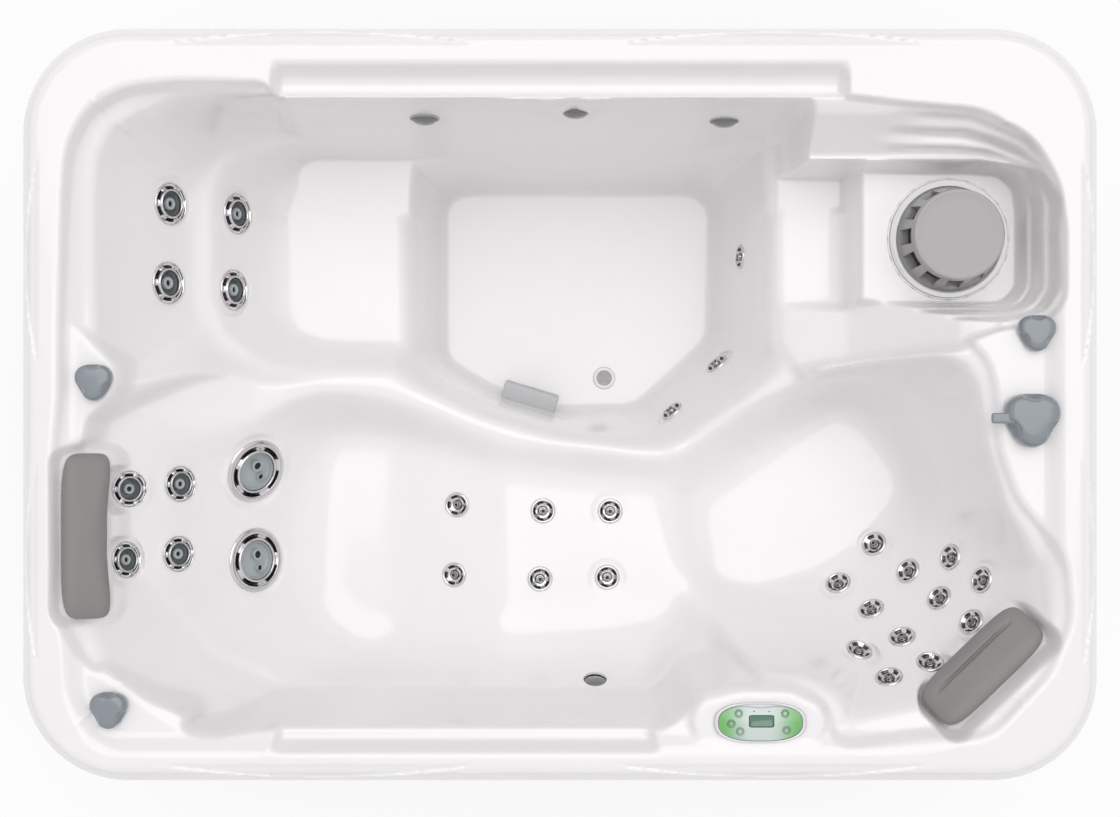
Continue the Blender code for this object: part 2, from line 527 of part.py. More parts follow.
def sheet_height(x, y):
    """Height of the bare sheet above the rim (so below zero) at each place, without pads for fittings."""
    half_length = TUB_LENGTH / 2
    half_width = TUB_WIDTH / 2
    arm = interpolate(x, ARM_PLACES_SHARES, ARM_DEPTHS, half_length)
    bed = interpolate(x, BED_PLACES_SHARES, BED_DEPTHS, half_length)
    seat_back = interpolate(x, SEAT_BACK_PLACES_SHARES, SEAT_BACK_DEPTHS, half_length)
    filter_floor = interpolate(x, STEP_PLACES_SHARES, STEP_DEPTHS, half_length)
    bank = interpolate(y, BANK_PLACES_SHARES, BANK_DEPTHS, half_width)
    peninsula = interpolate(x, PENINSULA_PLACES_SHARES, PENINSULA_DEPTHS, half_length)
    seat = loft(x, y, [
        (rounded(SEAT_PAN_SHARES, BASIN_CORNER), SEAT_DEPTH, SEAT_FILLET, 0),
        (rounded(SEAT_BUCKET_SHARES, BASIN_CORNER), seat_back, RIM_CORNER, WALL_FILLET),
        (rounded(SEAT_RIM_SHARES, BASIN_CORNER), DECK_DEPTH, 0, RIM_FILLET),
    ])
    lounge = loft(x, y, [
        (rounded(LOUNGE_BED_SHARES, BASIN_CORNER), bed, SEAT_FILLET, 0),
        (rounded(LOUNGE_RIM_SHARES, BASIN_CORNER), DECK_DEPTH, 0, RIM_FILLET),
    ])
    corner = loft(x, y, [
        (rounded(CORNER_PAN_SHARES, BASIN_CORNER), CORNER_SEAT_DEPTH, SEAT_FILLET, 0),
        (rounded(CORNER_RIM_SHARES, BASIN_CORNER), DECK_DEPTH, 0, RIM_FILLET),
    ])
    arms = loft(x, y, [
        (rounded(ARM_TOP_SHARES, EDGE_CORNER), arm, WALL_FILLET, 0),
        (rounded(FRONT_LEDGE_SHARES, EDGE_CORNER), arm - FRONT_LEDGE_RISE, WALL_FILLET, CREST_FILLET),
        (rounded(WALL_TOP_SHARES, EDGE_CORNER), DECK_DEPTH, 0, WALL_FILLET),
    ])
    footwell = loft(x, y, [
        (rounded(FOOTWELL_FLOOR_SHARES, BASIN_CORNER), FOOTWELL_DEPTH, WALL_FILLET, 0),
        (rounded(FOOTWELL_CREST_SHARES, EDGE_CORNER), arm, 0, CREST_FILLET),
    ], beyond=TUB_HEIGHT)
    filter_bay = loft(x, y, [
        (rounded(FILTER_FLOOR_SHARES, EDGE_CORNER), filter_floor, CREST_FILLET, 0),
        (rounded(FILTER_TERRACE_SHARES, RIM_CORNER), bank, CREST_FILLET, CREST_FILLET),
        (rounded(FILTER_RIM_SHARES, RIM_CORNER), DECK_DEPTH, 0, WALL_FILLET),
    ])
    ridge = loft(x, y, [
        (rounded(PENINSULA_TOP_SHARES, EDGE_CORNER), peninsula, CREST_FILLET, 0),
        (rounded(PENINSULA_RIM_SHARES, EDGE_CORNER), DECK_DEPTH, 0, CREST_FILLET),
    ])
    height = -DECK_DEPTH + np.zeros(np.shape(x))
    for basin, blend in ((seat, RIDGE_BLEND), (arms, RIDGE_BLEND), (lounge, RIDGE_BLEND), (corner, RIDGE_BLEND),
                         (ridge, RIDGE_BLEND), (filter_bay, EDGE_BLEND), (footwell, RIDGE_BLEND)):
        height = smooth_lower(height, basin, blend)
    inside = np.maximum(-signed_distance(x, y, rounded(MAIN_SHARES, EDGE_CORNER)), 0)
    height = smooth_upper(height, -DECK_DEPTH - MAIN_WALL_SLOPE * inside, EDGE_BLEND)
    into = -signed_distance(x, y, rounded(RIM_SHARES, RIM_CORNER))
    height = height + DECK_DEPTH * (1 - smooth_step(into / DECK_DEPTH))
    for shares, depth in ((LEFT_POD_SHARES, POD_DEPTH), (FRONT_POD_SHARES, POD_DEPTH),
                          (PANEL_PAD_SHARES, PANEL_PAD_DEPTH)):
        outside = np.maximum(signed_distance(x, y, rounded(shares, EDGE_CORNER)), 0)
        fall = POD_WALL_SLOPE * outside * (1 + outside / POD_BEND)
        height = smooth_upper(height, -depth - fall, POD_EDGE)
    for shares in (BACK_SHELF_SHARES, FRONT_SHELF_SHARES):
        into = -signed_distance(x, y, rounded(shares, RECESS_CORNER))
        height = np.minimum(height, -SHELF_DEPTH * smooth_step(into / RECESS_EDGE))
    return height


def lip_height(border):
    """Height of the rolled lip at each distance in from the tub's outer edge: a quarter ellipse."""
    share = np.clip(1 - border / LIP_ROLL, 0, 1)
    return -LIP_DROP * (1 - np.sqrt(1 - share * share))


def material(name, look):
    """A Principled material in this colour, roughness and metallic value."""
    made = bpy.data.materials.new(name)
    made.use_nodes = True
    shader = made.node_tree.nodes["Principled BSDF"]
    shader.inputs["Base Color"].default_value = (*look[:3], 1)
    shader.inputs["Roughness"].default_value = look[3]
    shader.inputs["Metallic"].default_value = look[4]
    return made


def add_object(name, points, faces, look=None, helper=False):
    """A mesh object at the world's origin; a helper is a cutter that the model doesn't show."""
    mesh = bpy.data.meshes.new(name)
    mesh.from_pydata([tuple(point) for point in points], [], faces)
    work = bmesh.new()
    work.from_mesh(mesh)
    bmesh.ops.recalc_face_normals(work, faces=work.faces)
    work.to_mesh(mesh)
    work.free()
    mesh.shade_smooth()
    mesh.set_sharp_from_angle(angle=math.radians(40))
    made = bpy.data.objects.new(name, mesh)
    bpy.context.collection.objects.link(made)
    if helper:
        made.hide_render = True
        made.display_type = "WIRE"
    else:
        mesh.materials.append(material(name, look))
    return made


def solid_of_rings(name, rings, look=None, helper=False, closed=False):
    """A solid whose skin runs through rings of points; a ring of one point is a pole, and flat ends are capped."""
    points = [point for ring in rings for point in ring]
    starts = np.cumsum([0] + [len(ring) for ring in rings])
    faces = []
    pairs = list(zip(range(len(rings)), range(1, len(rings))))
    if closed:
        pairs.append((len(rings) - 1, 0))
    for low, high in pairs:
        a, b = int(starts[low]), int(starts[high])
        count = max(len(rings[low]), len(rings[high]))
        for i in range(count):
            j = (i + 1) % count
            if len(rings[low]) == 1:
                faces.append((a, b + i, b + j))
            elif len(rings[high]) == 1:
                faces.append((a + i, b, a + j))
            else:
                faces.append((a + i, b + i, b + j, a + j))
    if not closed:
        for ring, start in ((rings[0], starts[0]), (rings[-1], starts[-2])):
            if len(ring) > 1:
                faces.append(tuple(int(start) + i for i in range(len(ring))))
    return add_object(name, points, faces, look, helper)


def frame_at(point, facing, along=None):
    """A placement whose Z faces this way and whose X lies as near as it can to along."""
    up = Vector(facing).normalized()
    side = Vector(along or (1, 0, 0))
    side = side - up * side.dot(up)
    if side.length < 0.1:
        side = Vector((0, 1, 0)) - up * up.y
    side.normalize()
    turned = Matrix((side, up.cross(side), up)).transposed().to_4x4()
    return Matrix.Translation(point) @ turned


def circle(radius, height, sides, place):
    if radius == 0:
        return [place @ Vector((0, 0, height))]
    angles = [math.tau * i / sides for i in range(sides)]
    return [place @ Vector((radius * math.cos(a), radius * math.sin(a), height)) for a in angles]


def turned(name, profile, sides, place, look=None, helper=False, closed=False):
    """A solid turned round the placement's Z from (radius, height) points."""
    return solid_of_rings(name, [circle(r, h, sides, place) for r, h in profile], look, helper, closed)


def prism(name, outline, low, high, place, look=None, helper=False, edge=0.0):
    """An outline raised from low to high, its upper edge chamfered if an edge is given."""
    rings = [(outline, low), (outline, high - edge)]
    if edge:
        rings.append((inset(outline, edge), high))
    return solid_of_rings(name, [[place @ Vector((p[0], p[1], h)) for p in ring] for ring, h in rings], look, helper)


def inset(outline, by):
    """The outline drawn in towards its middle by this much."""
    middle = sum((Vector(p) for p in outline), Vector((0, 0))) / len(outline)
    return [Vector(p) - (Vector(p) - middle).normalized() * by for p in outline]


def block(name, low, high, look=None, helper=False):
    """A box between two corners."""
    outline = [(low[0], low[1]), (high[0], low[1]), (high[0], high[1]), (low[0], high[1])]
    return prism(name, outline, low[2], high[2], Matrix.Identity(4), look, helper)


def centred_block(name, size, place, look=None, helper=False):
    """A box of this size standing on the placement's origin, centred across it."""
    half_x, half_y = size[0] / 2, size[1] / 2
    outline = [(-half_x, -half_y), (half_x, -half_y), (half_x, half_y), (-half_x, half_y)]
    return prism(name, outline, 0, size[2], place, look, helper)


def combine(target, other, operation):
    """A live Boolean between two meshes; the other one becomes a helper."""
    other.hide_render = True
    other.display_type = "WIRE"
    modifier = target.modifiers.new(f"{operation.lower()} {other.name}", "BOOLEAN")
    modifier.operation = operation
    modifier.solver = "EXACT"
    modifier.object = other
    return target


def origin_at(made, point):
    """Move an object's origin without moving its mesh."""
    made.data.transform(Matrix.Translation(-Vector(point)))
    made.location = point
    return made


def sheet_place(shares, lift=0.0):
    """The point of the sheet above these shares, in world space, and the way the sheet faces there."""
    x = shares[0] * TUB_LENGTH / 2
    y = shares[1] * TUB_WIDTH / 2
    reach = WALL_FILLET / 2
    xs = np.array([x, x + reach, x - reach, x, x])
    ys = np.array([y, y, y, y + reach, y - reach])
    heights = sheet_height(xs, ys)
    facing = Vector((heights[2] - heights[1], heights[4] - heights[3], 2 * reach)).normalized()
    point = Vector((x, y, TUB_HEIGHT + float(heights[0])))
    return point + facing * lift, facing


def jet_seats():
    """Every jet that turns: name, kind, face shares, sides, point and facing."""
    seats = []
    for stem, kind, places, face, sides in (
        ("seat_jet", SEAT_JET, SEAT_JET_SHARES, JET_FACE_SHARES, JET_SIDES),
        ("neck_jet", NECK_JET, NECK_JET_SHARES, JET_FACE_SHARES, JET_SIDES),
        ("back_jet", BACK_JET, BACK_JET_SHARES, BACK_FACE_SHARES, BACK_JET_SIDES),
        ("lounge_jet", LOUNGE_JET, LOUNGE_JET_SHARES, CORNER_FACE_SHARES, JET_SIDES),
        ("footwell_jet", FOOTWELL_JET, FOOTWELL_JET_SHARES, CORNER_FACE_SHARES, JET_SIDES),
    ):
        for number, shares in enumerate(places, 1):
            seats.append((f"{stem}_{number}", kind, face, sides, *sheet_place(shares)))
    return seats


def corner_seats():
    """The jets of each corner row: row name to a list of (point, facing)."""
    return {name: [sheet_place(shares) for shares in row] for name, row in CORNER_ROW_SHARES.items()}


def pillow_places():
    """Each pillow: name, place on its rest, length, width, height and the hollow of its inner side."""
    places = []
    for name, shares, tilt, turn, length, width, height, hollow in (
        ("pillow_left", LEFT_PILLOW_PLACE_SHARES, LEFT_PILLOW_TILT, LEFT_PILLOW_TURN, LEFT_PILLOW_LENGTH,
         LEFT_PILLOW_WIDTH, LEFT_PILLOW_HEIGHT, LEFT_PILLOW_HOLLOW),
        ("pillow_corner", CORNER_PILLOW_PLACE_SHARES, CORNER_PILLOW_TILT, CORNER_PILLOW_TURN,
         CORNER_PILLOW_LENGTH, CORNER_PILLOW_WIDTH, CORNER_PILLOW_HEIGHT, CORNER_PILLOW_HOLLOW),
    ):
        point, _ = sheet_place(shares)
        along = Vector((math.cos(turn), math.sin(turn), 0))
        inward = Vector((-along.y, along.x, 0))
        facing = Vector((0, 0, 1)) * math.cos(tilt) + inward * math.sin(tilt)
        places.append((name, frame_at(point, facing, along), length, width, height, hollow))
    return places


def pads():
    """Flat places of the sheet under the fittings: point, facing and radius."""
    found = [(point, facing, kind[0] + JET_PAD_MARGIN) for _, kind, _, _, point, facing in jet_seats()]
    for row in corner_seats().values():
        found += [(point, facing, CORNER_JET[0] + JET_PAD_MARGIN) for point, facing in row]
    return found


def padded_height(x, y):
    """The sheet's height above the rim with a flat pad under each fitting and each pillow."""
    height = sheet_height(x, y)
    for _, place, length, width, _, _ in pillow_places():
        back = place.inverted()
        normal = place.to_3x3() @ Vector((0, 0, 1))
        centre = place.translation
        plane = centre.z - TUB_HEIGHT - (normal.x * (x - centre.x) + normal.y * (y - centre.y)) / normal.z
        local = [back[row][0] * x + back[row][1] * y + back[row][2] * (plane + TUB_HEIGHT) + back[row][3]
                 for row in range(2)]
        beyond = np.hypot(np.maximum(np.abs(local[0]) - length / 2, 0), np.maximum(np.abs(local[1]) - width / 2, 0))
        share = 1 - smooth_step(beyond / PILLOW_REST_BLEND)
        height = height + (plane - height) * share
    for point, facing, radius in pads():
        across, up = x - point.x, y - point.y
        plane = point.z - TUB_HEIGHT - (facing.x * across + facing.y * up) / facing.z
        away = np.sqrt(across ** 2 + up ** 2 + (plane + TUB_HEIGHT - point.z) ** 2)
        share = 1 - smooth_step((away - radius) / JET_PAD_BLEND)
        height = height + (plane - height) * share
    return height


def grid_lines(half, count):
    """Lines from edge to edge: close together over the rolled lip and even between."""
    lip = [half - LIP_ROLL * share for share in LIP_LINE_SHARES]
    even = np.linspace(-lip[-1], lip[-1], count)
    return np.array([-value for value in lip[:-1]] + list(even) + list(reversed(lip[:-1])))


def lay_sheet(columns, rows):
    """Points of the sheet on a grid whose border follows the lip's rounded corners, with its hanging skirt."""
    half_length, half_width = TUB_LENGTH / 2, TUB_WIDTH / 2
    x, y = np.meshgrid(grid_lines(half_length, columns), grid_lines(half_width, rows))
    side = np.sign(x), np.sign(y)
    out = np.maximum((np.abs(x) - half_length) / LIP_CORNER_RADIUS + 1, 0)
    up = np.maximum((np.abs(y) - half_width) / LIP_CORNER_RADIUS + 1, 0)
    reach = np.maximum(out, up)
    pull = np.where((out > 0) & (up > 0), reach / np.maximum(np.hypot(out, up), CLEARANCE), 1)
    x = np.where(pull < 1, side[0] * (half_length + (out * pull - 1) * LIP_CORNER_RADIUS), x)
    y = np.where(pull < 1, side[1] * (half_width + (up * pull - 1) * LIP_CORNER_RADIUS), y)
    border = np.where(reach > 0, (1 - reach) * LIP_CORNER_RADIUS, LIP_CORNER_RADIUS)
    height = padded_height(x, y) + lip_height(border)
    points = np.stack([x, y, height + TUB_HEIGHT], -1)
    return points


def thinned_sheet():
    """Points and triangles of the sheet's upper side, thinned to few faces."""
    laid = lay_sheet(SHEET_COLUMNS, SHEET_ROWS)
    height, width = laid.shape[:2]
    index = np.arange(height * width).reshape(height, width)
    faces = np.stack([index[:-1, :-1], index[:-1, 1:], index[1:, 1:], index[1:, :-1]], -1).reshape(-1, 4).tolist()
    sheet = add_object("sheet", laid.reshape(-1, 3).tolist(), faces, helper=True)
    sheet.modifiers.new("thin", "DECIMATE").ratio = SHEET_KEPT_SHARE
    thinned = bpy.data.meshes.new_from_object(sheet.evaluated_get(bpy.context.evaluated_depsgraph_get()))
    bpy.data.objects.remove(sheet)
    return thinned


def mend_folds(work):
    """Thinning leaves a few slivers that face down: a short side is closed up, and a long one is turned."""
    for _ in range(MENDING_ROUNDS):
        work.normal_update()
        folded = [face for face in work.faces if face.normal.z < FOLDED_FACING]
        for face in folded:
            if not face.is_valid:
                continue
            sides = sorted(face.edges, key=lambda edge: edge.calc_length())
            if sides[0].calc_length() < SHELL_THICKNESS:
                bmesh.ops.collapse(work, edges=sides[:1])
            elif not sides[-1].is_boundary:
                bmesh.utils.edge_rotate(sides[-1], True)
    work.normal_update()


def make_shell():
    """The acrylic shell: the thinned sheet, and below it the same sheet lowered by what its slope asks for."""
    work = bmesh.new()
    work.from_mesh(thinned_sheet())
    bmesh.ops.triangulate(work, faces=work.faces)
    mend_folds(work)
    upper = list(work.verts)
    rims = [(edge.link_loops[0].vert, edge.link_loops[0].link_loop_next.vert) for edge in work.edges if edge.is_boundary]
    lowest = TUB_HEIGHT - FOOTWELL_DEPTH - SHELL_THICKNESS
    below = {}
    for point in upper:
        drop = SHELL_THICKNESS / max(point.normal.z, STEEPEST_FACING)
        foot = TUB_HEIGHT - SKIRT_DEPTH if point.is_boundary else max(point.co.z - drop, lowest)
        below[point] = (point.co.x, point.co.y, foot)
    lower = {point: work.verts.new(place) for point, place in below.items()}
    for face in list(work.faces):
        work.faces.new([lower[point] for point in reversed(face.verts)])
    for start, end in rims:
        work.faces.new([end, start, lower[start]])
        work.faces.new([end, lower[start], lower[end]])
    work.verts.index_update()
    points = [point.co.copy() for point in work.verts]
    faces = [[point.index for point in face.verts] for face in work.faces]
    work.free()
    return add_object("acrylic_shell", points, faces, ACRYLIC)


def swept(radius, sides):
    """Radius of a hole with this many sides that a round piece of this radius can turn in."""
    return (radius + CLEARANCE) / math.cos(math.pi / sides)


def socket(name, ring, barrel, length, sides, place, turns):
    """A cutter for a round fitting: room above its ring, and the hole for its barrel."""
    wide = swept(ring, sides) if turns else ring + CLEARANCE
    narrow = swept(barrel, sides) if turns else barrel + CLEARANCE
    seat = -JET_SEAT_DEPTH - CLEARANCE
    profile = [(0, OVERRUN), (wide, OVERRUN), (wide, seat), (narrow, seat), (narrow, -length - CLEARANCE),
               (0, -length - CLEARANCE)]
    return turned(name, profile, sides, place, helper=True)


def jet_profile(kind, face):
    ring, barrel, length = kind
    top = [(share * ring, height * ring) for share, height in face]
    return top + [(ring, -JET_SEAT_DEPTH), (barrel, -JET_SEAT_DEPTH), (barrel, -length), (0, -length)]


def make_jets(shell):
    """The adjustable jets in the seat, the lounge and the footwell, and the rotors of the two large ones."""
    for name, kind, face, sides, point, facing in jet_seats():
        place = frame_at(point, facing)
        ring, barrel, length = kind
        combine(shell, socket(f"{name}_socket", ring, barrel, length, sides, place, True), "DIFFERENCE")
        origin_at(turned(name, jet_profile(kind, face), sides, place, CHROME), point)
        if kind is BACK_JET:
            floor = -ROTOR_FLOOR_SHARE * ring + CLEARANCE
            profile = [(share * ring, height * ring) for share, height in ROTOR_FACE_SHARES]
            profile += [(ROTOR_SHARE * ring, floor), (0, floor)]
            origin_at(turned(f"{name}_rotor", profile, sides, place, GREY_ABS), point)


def tube(name, path, radius, sides, look=None, helper=False):
    """A closed tube along a path of points."""
    rings = []
    for index, point in enumerate(path):
        ahead = path[min(index + 1, len(path) - 1)] - path[max(index - 1, 0)]
        rings.append(circle(radius, 0, sides, frame_at(point, ahead, (0, 0, 1))))
    return solid_of_rings(name, rings, look, helper)


def make_corner_rows(shell):
    """Four rows of small fixed jets, each row on one moulded manifold behind the shell."""
    ring, barrel, length = CORNER_JET
    for name, seats in corner_seats().items():
        bases = [point - facing * length for point, facing in seats]
        run = (bases[-1] - bases[0]).normalized() * MANIFOLD_OVERHANG
        row = tube(name, [bases[0] - run, *bases, bases[-1] + run], MANIFOLD_RADIUS, MANIFOLD_SIDES, CHROME)
        for number, (point, facing) in enumerate(seats, 1):
            place = frame_at(point, facing)
            combine(shell, socket(f"{name}_socket_{number}", ring, barrel, length, CORNER_JET_SIDES, place, False),
                    "DIFFERENCE")
            jet = turned(f"{name}_jet_{number}", jet_profile(CORNER_JET, CORNER_FACE_SHARES), CORNER_JET_SIDES,
                         place, helper=True)
            combine(row, jet, "UNION")


def make_lights(shell):
    for name, shares in LIGHT_PLACE_SHARES.items():
        point, facing = sheet_place(shares)
        place = frame_at(point, facing)
        combine(shell, socket(f"{name}_socket", LIGHT_RADIUS, LIGHT_BARREL_RADIUS, LIGHT_BARREL_LENGTH, LIGHT_SIDES,
                              place, False), "DIFFERENCE")
        profile = [(share * LIGHT_RADIUS, height * LIGHT_DOME) for share, height in LIGHT_DOME_SHARES]
        profile += [(LIGHT_RADIUS, -JET_SEAT_DEPTH), (LIGHT_BARREL_RADIUS, -JET_SEAT_DEPTH),
                    (LIGHT_BARREL_RADIUS, -LIGHT_BARREL_LENGTH), (0, -LIGHT_BARREL_LENGTH)]
        turned(name, profile, LIGHT_SIDES, place, LENS)


def make_drain(shell):
    """The round drain in the footwell's floor, and the hole under it."""
    point, _ = sheet_place(DRAIN_PLACE_SHARES)
    place = Matrix.Translation(point)
    combine(shell, socket("floor_drain_socket", DRAIN_RADIUS, DRAIN_BARREL_RADIUS, DRAIN_BARREL_LENGTH, LIGHT_SIDES,
                          place, False), "DIFFERENCE")
    profile = [(0, DRAIN_HEIGHT), (DRAIN_RADIUS - DRAIN_HEIGHT, DRAIN_HEIGHT), (DRAIN_RADIUS, 0),
               (DRAIN_RADIUS, -JET_SEAT_DEPTH), (DRAIN_BARREL_RADIUS, -JET_SEAT_DEPTH),
               (DRAIN_BARREL_RADIUS, -DRAIN_BARREL_LENGTH), (0, -DRAIN_BARREL_LENGTH)]
    turned("floor_drain", profile, LIGHT_SIDES, place, PIPE_WHITE)
    return point


def suction_shape(name, place, grow, look=None, helper=False):
    """A wedge on the wall whose upper face leans back, with its neck through the wall, grown all round by a gap."""
    low = -SUCTION_RISE / 2 - grow
    high = SUCTION_RISE / 2 + grow
    front = SUCTION_REACH + grow
    seat = -JET_SEAT_DEPTH - grow
    neck = SUCTION_BODY_RISE / 2 + grow
    back = -SUCTION_BODY_REACH - grow
    lean = SUCTION_REACH * SUCTION_TOP_SHARE + grow
    side = [(low, seat), (low, front), (high - SUCTION_REACH, front), (high, lean), (high, seat), (neck, seat),
            (neck, back), (-neck, back), (-neck, seat)]
    rings = [[place @ Vector((end * (SUCTION_LENGTH / 2 + grow), up, out)) for up, out in side] for end in (-1, 1)]
    return solid_of_rings(name, rings, look, helper)


def make_suction(shell):
    point, facing = sheet_place(SUCTION_CENTRE_SHARES)
    place = frame_at(point, facing, Vector((0, 0, 1)).cross(-facing))
    combine(shell, suction_shape("suction_cover_socket", place, CLEARANCE, helper=True), "DIFFERENCE")
    suction_shape("suction_cover", place, 0, GREY_ABS)


def lobed_ring(radius, height, lobe, sides, place):
    """A ring that swells in three lobes, the last of them towards the front."""
    points = []
    for i in range(sides):
        angle = math.tau * i / sides
        reach = radius * (1 + lobe * math.sin(KNOB_LOBES * angle))
        points.append(place @ Vector((reach * math.cos(angle), reach * math.sin(angle), height)))
    return points


def lobed_knob(name, radius, height, place):
    rings = [[place @ Vector((0, 0, height))]]
    for share, up in reversed(KNOB_RING_SHARES):
        level = CLEARANCE + up * (height - CLEARANCE)
        rings.append(lobed_ring(radius * share, level, KNOB_LOBE_SHARE, KNOB_SIDES, place))
    rings.append(circle(KNOB_STEM_RADIUS, CLEARANCE, KNOB_SIDES, place))
    rings.append(circle(KNOB_STEM_RADIUS, -KNOB_STEM_LENGTH, KNOB_SIDES, place))
    return solid_of_rings(name, rings, KNOB_GREY)


def knob_socket(name, radius, place):
    wide = swept(radius * (1 + KNOB_LOBE_SHARE), KNOB_SIDES)
    stem = swept(KNOB_STEM_RADIUS, KNOB_SIDES)
    profile = [(0, OVERRUN), (wide, OVERRUN), (wide, 0), (stem, 0), (stem, -KNOB_STEM_LENGTH - CLEARANCE),
               (0, -KNOB_STEM_LENGTH - CLEARANCE)]
    return turned(f"{name}_socket", profile, KNOB_SIDES, place, helper=True)


def make_knobs(shell):
    """Three air knobs and the larger diverter with its pointer tab."""
    for name, shares in KNOB_PLACE_SHARES.items():
        point, _ = sheet_place(shares)
        place = Matrix.Translation(point)
        combine(shell, knob_socket(name, KNOB_RADIUS, place), "DIFFERENCE")
        origin_at(lobed_knob(name, KNOB_RADIUS, KNOB_HEIGHT, place), point)
    point, _ = sheet_place(DIVERTER_PLACE_SHARES)
    place = Matrix.Translation(point)
    combine(shell, knob_socket("water_diverter", DIVERTER_RADIUS, place), "DIFFERENCE")
    diverter = lobed_knob("water_diverter", DIVERTER_RADIUS, DIVERTER_HEIGHT, place)
    top = DIVERTER_HEIGHT * DIVERTER_TAB_SHARE
    tab_low = (-DIVERTER_RADIUS - DIVERTER_TAB_LENGTH, -DIVERTER_TAB_WIDTH / 2, top - DIVERTER_TAB_HEIGHT)
    tab_high = (-DIVERTER_RADIUS / 2, DIVERTER_TAB_WIDTH / 2, top)
    tab = block("water_diverter_tab", point + Vector(tab_low), point + Vector(tab_high), helper=True)
    combine(origin_at(diverter, point), tab, "UNION")


def oval(length, width, roundness, sides):
    """A superellipse: an oval for a roundness of 2, nearly a rectangle for a large one."""
    points = []
    for i in range(sides):
        angle = math.tau * (i + 0.5) / sides
        cosine, sine = math.cos(angle), math.sin(angle)
        points.append(Vector((math.copysign(abs(cosine) ** (2 / roundness), cosine) * length / 2,
                              math.copysign(abs(sine) ** (2 / roundness), sine) * width / 2)))
    return points


def make_panel(shell):
    """The top-side control panel on its pad, with a pocket for each button and the electronics under the deck."""
    point, _ = sheet_place(PANEL_PLACE_SHARES)
    place = Matrix.Translation(point + Vector((0, 0, CLEARANCE)))
    outline = oval(PANEL_LENGTH, PANEL_WIDTH, PANEL_ROUNDNESS, PANEL_SIDES)
    panel = prism("control_panel", outline, 0, PANEL_THICKNESS, place, PANEL_GREEN, edge=PANEL_EDGE)
    body_size = (PANEL_BODY_LENGTH, PANEL_BODY_WIDTH, PANEL_BODY_DEPTH + PANEL_THICKNESS / 2)
    below = Matrix.Translation(place.translation - Vector((0, 0, PANEL_BODY_DEPTH)))
    combine(panel, centred_block("control_panel_body", body_size, below, helper=True), "UNION")
    room = oval(PANEL_LENGTH + 2 * CLEARANCE, PANEL_WIDTH + 2 * CLEARANCE, PANEL_ROUNDNESS, PANEL_SIDES)
    above = prism("control_panel_room", room, 0, OVERRUN, Matrix.Translation(point), helper=True)
    combine(shell, above, "DIFFERENCE")
    hole_size = (PANEL_BODY_LENGTH + 2 * CLEARANCE, PANEL_BODY_WIDTH + 2 * CLEARANCE, PANEL_BODY_DEPTH + OVERRUN)
    hole = Matrix.Translation(point - Vector((0, 0, PANEL_BODY_DEPTH + CLEARANCE)))
    combine(shell, centred_block("control_panel_hole", hole_size, hole, helper=True), "DIFFERENCE")
    for name, shares in BUTTON_CENTRE_SHARES.items():
        across = Vector((shares[0] * PANEL_LENGTH / 2, shares[1] * PANEL_WIDTH / 2, PANEL_THICKNESS))
        centre = place.translation + across
        at = Matrix.Translation(centre)
        floor = -BUTTON_DEPTH - BUTTON_TRAVEL
        pocket = turned(f"{name}_pocket", [(0, OVERRUN), (BUTTON_RADIUS + CLEARANCE, OVERRUN),
                                           (BUTTON_RADIUS + CLEARANCE, floor - CLEARANCE), (0, floor - CLEARANCE)],
                        BUTTON_SIDES, at, helper=True)
        combine(panel, pocket, "DIFFERENCE")
        profile = [(0, BUTTON_PROUD), (BUTTON_RADIUS * PINCH_SHARE, BUTTON_PROUD), (BUTTON_RADIUS, 0),
                   (BUTTON_RADIUS, -BUTTON_DEPTH), (0, -BUTTON_DEPTH)]
        origin_at(turned(name, profile, BUTTON_SIDES, at, PANEL_GREEN), centre)


def pillow_outline(length, width, hollow, grow=0.0):
    """The pillow's outline on its rest: X along it, +Y towards the bather, where it may be hollow."""
    points = []
    for point in oval(length + 2 * grow, width + 2 * grow, PILLOW_ROUNDNESS, PILLOW_SIDES):
        bow = hollow * (1 - (2 * point.x / length) ** 2) if point.y > 0 else 0
        points.append(Vector((point.x, point.y - max(bow, 0))))
    return points


